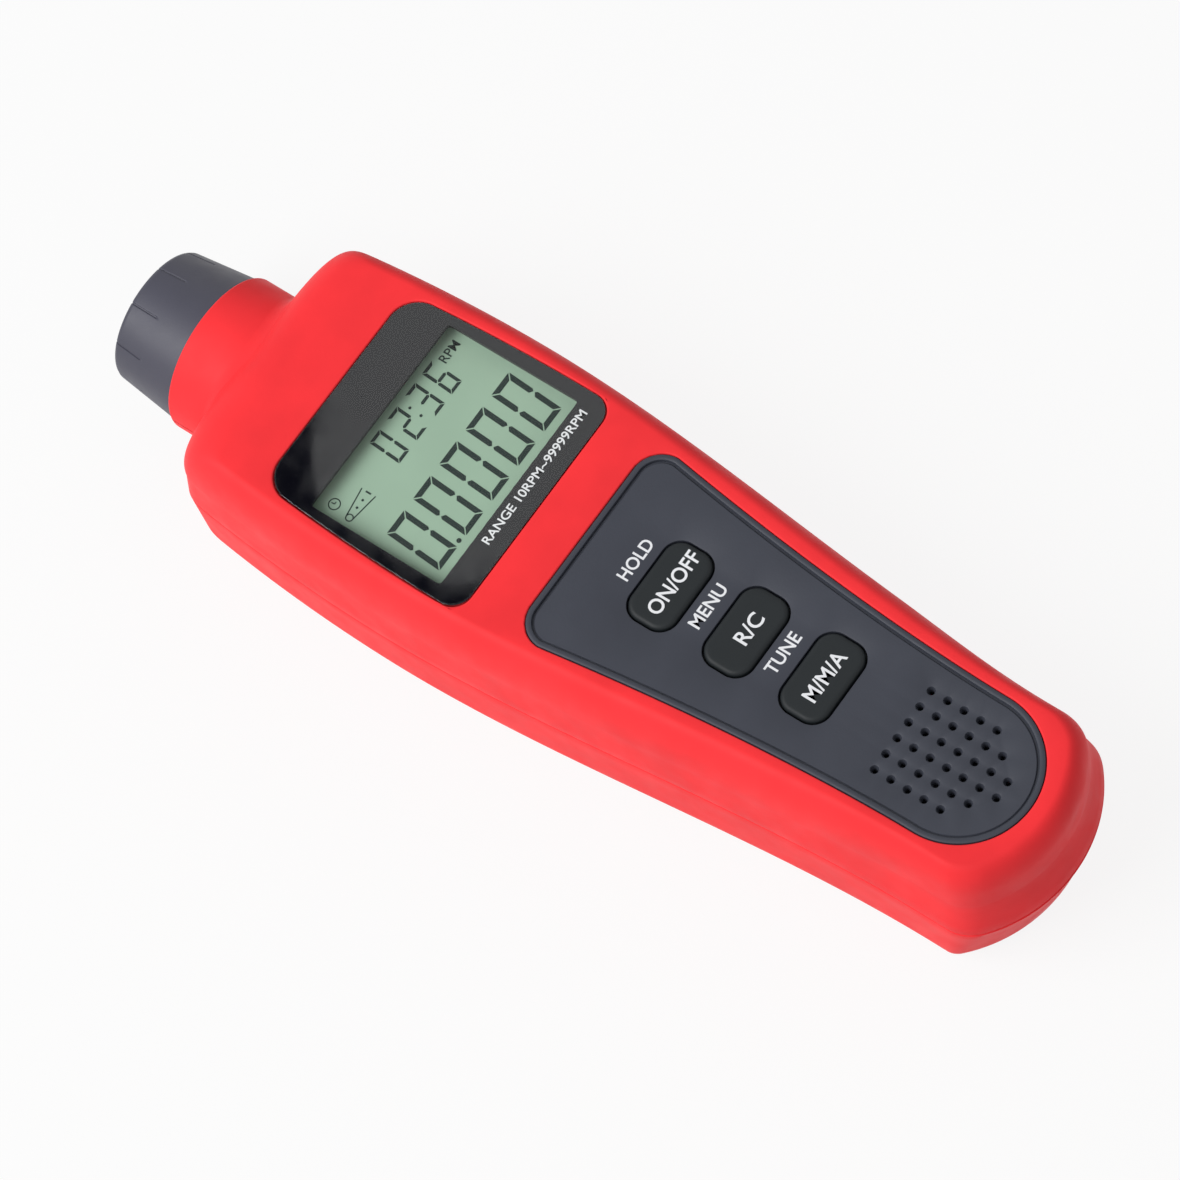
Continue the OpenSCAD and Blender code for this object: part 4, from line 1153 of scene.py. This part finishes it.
class TACHOMETER_OT_words(bpy.types.Operator):
    """White words on the key panel and on the keys"""
    bl_idname = "tachometer.words"
    bl_label = "Words"

    def execute(self, context):
        at = Places()
        p = settings().panel
        plate_z = at.top_z - p.sunk + 0.005 * MM
        make_words("panel_words", PANEL_WORDS, plate_z, finish("print_white"), CASE, 0.015)
        for node, (text, x, w) in KEY_WORDS.items():
            centre, _, high_z = key_centre(node)
            middle = (x, centre[1] / MM - 0.25)
            make_words(node.replace("_key", "_word"), [(text, middle, (w, 2.6))], high_z + 0.002 * MM,
                       finish("print_white"), KEYS[node], 0.015)
        return {"FINISHED"}


NODE_FINISH = {
    "battery_door": "red_case", "door_screw": "screw_steel", "case_screws": "screw_steel",
    "front_lens": "lens_clear", "lens_retainer": "barrel_black", "optics_holder": "barrel_black",
    "laser_module": "laser_brass", "photodiode": "diode_dark", "receiver_lens": "lens_clear",
    "sensor_board": "board_green", "lcd_frame": "frame_white", "zebra_strips": "contact_rubber",
    "main_board": "board_green", "board_screws": "screw_steel", "power_plunger": "contact_rubber",
    "menu_plunger": "contact_rubber", "tune_plunger": "contact_rubber", "tact_switches": "switch_grey",
    "buzzer": "barrel_black", "battery_cells": "cell_jacket", "contact_plates": "screw_steel",
    "contact_springs": "screw_steel",
}


class TACHOMETER_OT_inner_parts(bpy.types.Operator):
    """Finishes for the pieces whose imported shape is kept"""
    bl_idname = "tachometer.inner_parts"
    bl_label = "Inner parts"

    def execute(self, context):
        for node, name in NODE_FINISH.items():
            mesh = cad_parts[node].data
            mesh.materials.clear()
            mesh.materials.append(finish(name))
        return {"FINISHED"}


def seen_directly(tree, share=1.0):
    """A share for camera, glossy and transmission rays, which see the white background; zero for others."""
    rays = tree.nodes.new("ShaderNodeLightPath").outputs
    value = rays["Is Camera Ray"]
    for ray in ("Is Glossy Ray", "Is Transmission Ray"):
        value = maths(tree, "MAXIMUM", value, rays[ray])
    return maths(tree, "MULTIPLY", value, share)


WORLD_LIGHT = 0.38
FLOOR_HALF, FLOOR_DROP, FLOOR_GREY, FLOOR_SEEN = 3.0, 0.2 * MM, 0.74, 0.88
LAMP_PLACE, LAMP_TARGET, LAMP_SIZE, LAMP_POWER = Vector((-0.70, 0.41, 0.88)), Vector((0, 0, 0.02)), 0.9, 13.2
CARD_HEIGHT = 0.3
CAMERA_TARGET = (-2.11 * MM, 88.21 * MM, 17.0 * MM)


class TACHOMETER_OT_stage(bpy.types.Operator):
    """Pale floor, soft light, white world and the camera"""
    bl_idname = "tachometer.stage"
    bl_label = "Stage"

    def execute(self, context):
        scene = context.scene
        scene.view_settings.view_transform = "Standard"
        self.make_world(scene)
        self.make_floor()
        self.make_lamp("soft_box")
        self.make_camera(scene, settings().stage)
        self.make_dark_card(scene.camera.location)
        return {"FINISHED"}

    def make_dark_card(self, eye):
        """A black card that the window mirrors at its left edge; squares bend its inner edge at both ends."""
        at = Places()
        low, high = at.window_low, at.window_high
        y = np.linspace(low[1] - 12 * MM, high[1] + 12 * MM, 81)
        front = np.maximum(0, (y - high[1] + 14 * MM) / (14 * MM)) ** 2
        rear = np.maximum(0, (low[1] + 6 * MM - y) / (6 * MM)) ** 2
        inner = np.minimum(low[0] + (2.6 + 13.0 * front + 4.0 * rear) * MM, 8 * MM)
        outer = np.full_like(y, low[0] - 16 * MM)
        edges = np.stack([np.column_stack([inner, y]), np.column_stack([outer, y])])
        mirrored_edges = edges + (edges - np.array(eye[:2])) * CARD_HEIGHT / (eye[2] - high[2])
        grid = np.concatenate([mirrored_edges, np.full(edges.shape[:2] + (1,), high[2] + CARD_HEIGHT)], -1)
        mesh = bpy.data.meshes.new("dark_card")
        mesh.from_pydata(grid.reshape(-1, 3).tolist(), [], quads(2, len(y), False, 0).tolist())
        mesh.materials.append(new_material("card_black", (0.002, 0.002, 0.002), 0.9, 0.0)[0])
        card = bpy.data.objects.new("dark_card", mesh)
        card.visible_camera = card.visible_diffuse = card.visible_shadow = card.visible_transmission = False
        bpy.context.scene.collection.objects.link(card)

    def make_world(self, scene):
        """White to the camera, a plain pale light to the object."""
        world = bpy.data.worlds.new("studio")
        scene.world = world
        world.use_nodes = True
        tree = world.node_tree
        light = tree.nodes["Background"]
        light.inputs["Color"].default_value = WHITE
        light.inputs["Strength"].default_value = WORLD_LIGHT
        white = add_node(tree, "ShaderNodeBackground", {"Color": WHITE})
        show_mix(tree, "World Output", seen_directly(tree), light.outputs["Background"],
                 white.outputs["Background"])

    def make_floor(self):
        """A wide level floor just under the flat back."""
        mesh = bpy.data.meshes.new("floor")
        corners = FLOOR_HALF * np.array([(-1, -1), (1, -1), (1, 1), (-1, 1)])
        mesh.from_pydata(at_height(corners, -FLOOR_DROP).tolist(), [], [(0, 1, 2, 3)])
        mesh.materials.append(self.floor_finish())
        floor = bpy.data.objects.new("floor", mesh)
        bpy.context.scene.collection.objects.link(floor)

    def floor_finish(self):
        """White paper, whitened further where it is seen directly; the shadow stays in its own share."""
        material, tree, shader = new_material("floor_white", (FLOOR_GREY,) * 3, 0.9, 0.1)
        white = add_node(tree, "ShaderNodeEmission", {"Color": WHITE})
        show_mix(tree, "Material Output", seen_directly(tree, FLOOR_SEEN), shader.outputs["BSDF"],
                 white.outputs["Emission"])
        return material

    def make_lamp(self, name):
        """A square soft lamp aimed at the object."""
        lamp = bpy.data.lights.new(name, "AREA")
        lamp.shape = "SQUARE"
        lamp.size = LAMP_SIZE
        lamp.energy = LAMP_POWER
        holder = bpy.data.objects.new(name, lamp)
        holder.location = LAMP_PLACE
        holder.rotation_euler = (LAMP_TARGET - LAMP_PLACE).to_track_quat("-Z", "Y").to_euler()
        bpy.context.scene.collection.objects.link(holder)

    def make_camera(self, scene, s):
        """A long lens at the photograph's angle, turned about its view."""
        n = Vector((math.sin(s.azimuth) * math.cos(s.elevation), -math.cos(s.azimuth) * math.cos(s.elevation),
                    math.sin(s.elevation)))
        level = (-n).cross(Vector((0, 0, 1))).normalized()
        up = level.cross(-n)
        right = level * math.cos(s.roll) + up * math.sin(s.roll)
        x, back, z = CAMERA_TARGET
        target = Vector((x, span("barrel")[1][1] - back, z))
        camera = bpy.data.cameras.new("camera")
        camera.lens = s.lens
        camera.sensor_width = 36.0
        camera.clip_start, camera.clip_end = 0.05, 20.0
        holder = bpy.data.objects.new("camera", camera)
        turn = Matrix((right, n.cross(right), n)).transposed().to_4x4()
        holder.matrix_world = Matrix.Translation(target + n * s.distance) @ turn
        scene.collection.objects.link(holder)
        scene.camera = holder


STEPS = (TACHOMETER_OT_upper_shell, TACHOMETER_OT_lower_shell, TACHOMETER_OT_barrel, TACHOMETER_OT_key_panel,
         TACHOMETER_OT_keys, TACHOMETER_OT_display, TACHOMETER_OT_words, TACHOMETER_OT_inner_parts,
         TACHOMETER_OT_stage)


class TACHOMETER_PT_panel(bpy.types.Panel):
    """Lists the building steps in the sidebar"""
    bl_idname = "TACHOMETER_PT_panel"
    bl_label = "Laser tachometer"
    bl_space_type = "VIEW_3D"
    bl_region_type = "UI"
    bl_category = "Tachometer"

    def draw(self, context):
        for step in STEPS:
            self.layout.operator(step.bl_idname)


CLASSES = (CaseSettings, BarrelSettings, PanelSettings, DisplaySettings, StageSettings, TachometerSettings,
           *STEPS, TACHOMETER_PT_panel)


def register():
    """Registers the classes and the scene's settings."""
    for cls in CLASSES:
        bpy.utils.register_class(cls)
    bpy.types.Scene.tachometer = bpy.props.PointerProperty(type=TachometerSettings)


def unregister():
    """Removes the settings and the classes."""
    del bpy.types.Scene.tachometer
    for cls in reversed(CLASSES):
        bpy.utils.unregister_class(cls)


def main():
    """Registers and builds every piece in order."""
    register()
    bpy.ops.tachometer.upper_shell()
    bpy.ops.tachometer.lower_shell()
    bpy.ops.tachometer.barrel()
    bpy.ops.tachometer.key_panel()
    bpy.ops.tachometer.keys()
    bpy.ops.tachometer.display()
    bpy.ops.tachometer.words()
    bpy.ops.tachometer.inner_parts()
    bpy.ops.tachometer.stage()


if __name__ == "__main__":
    main()
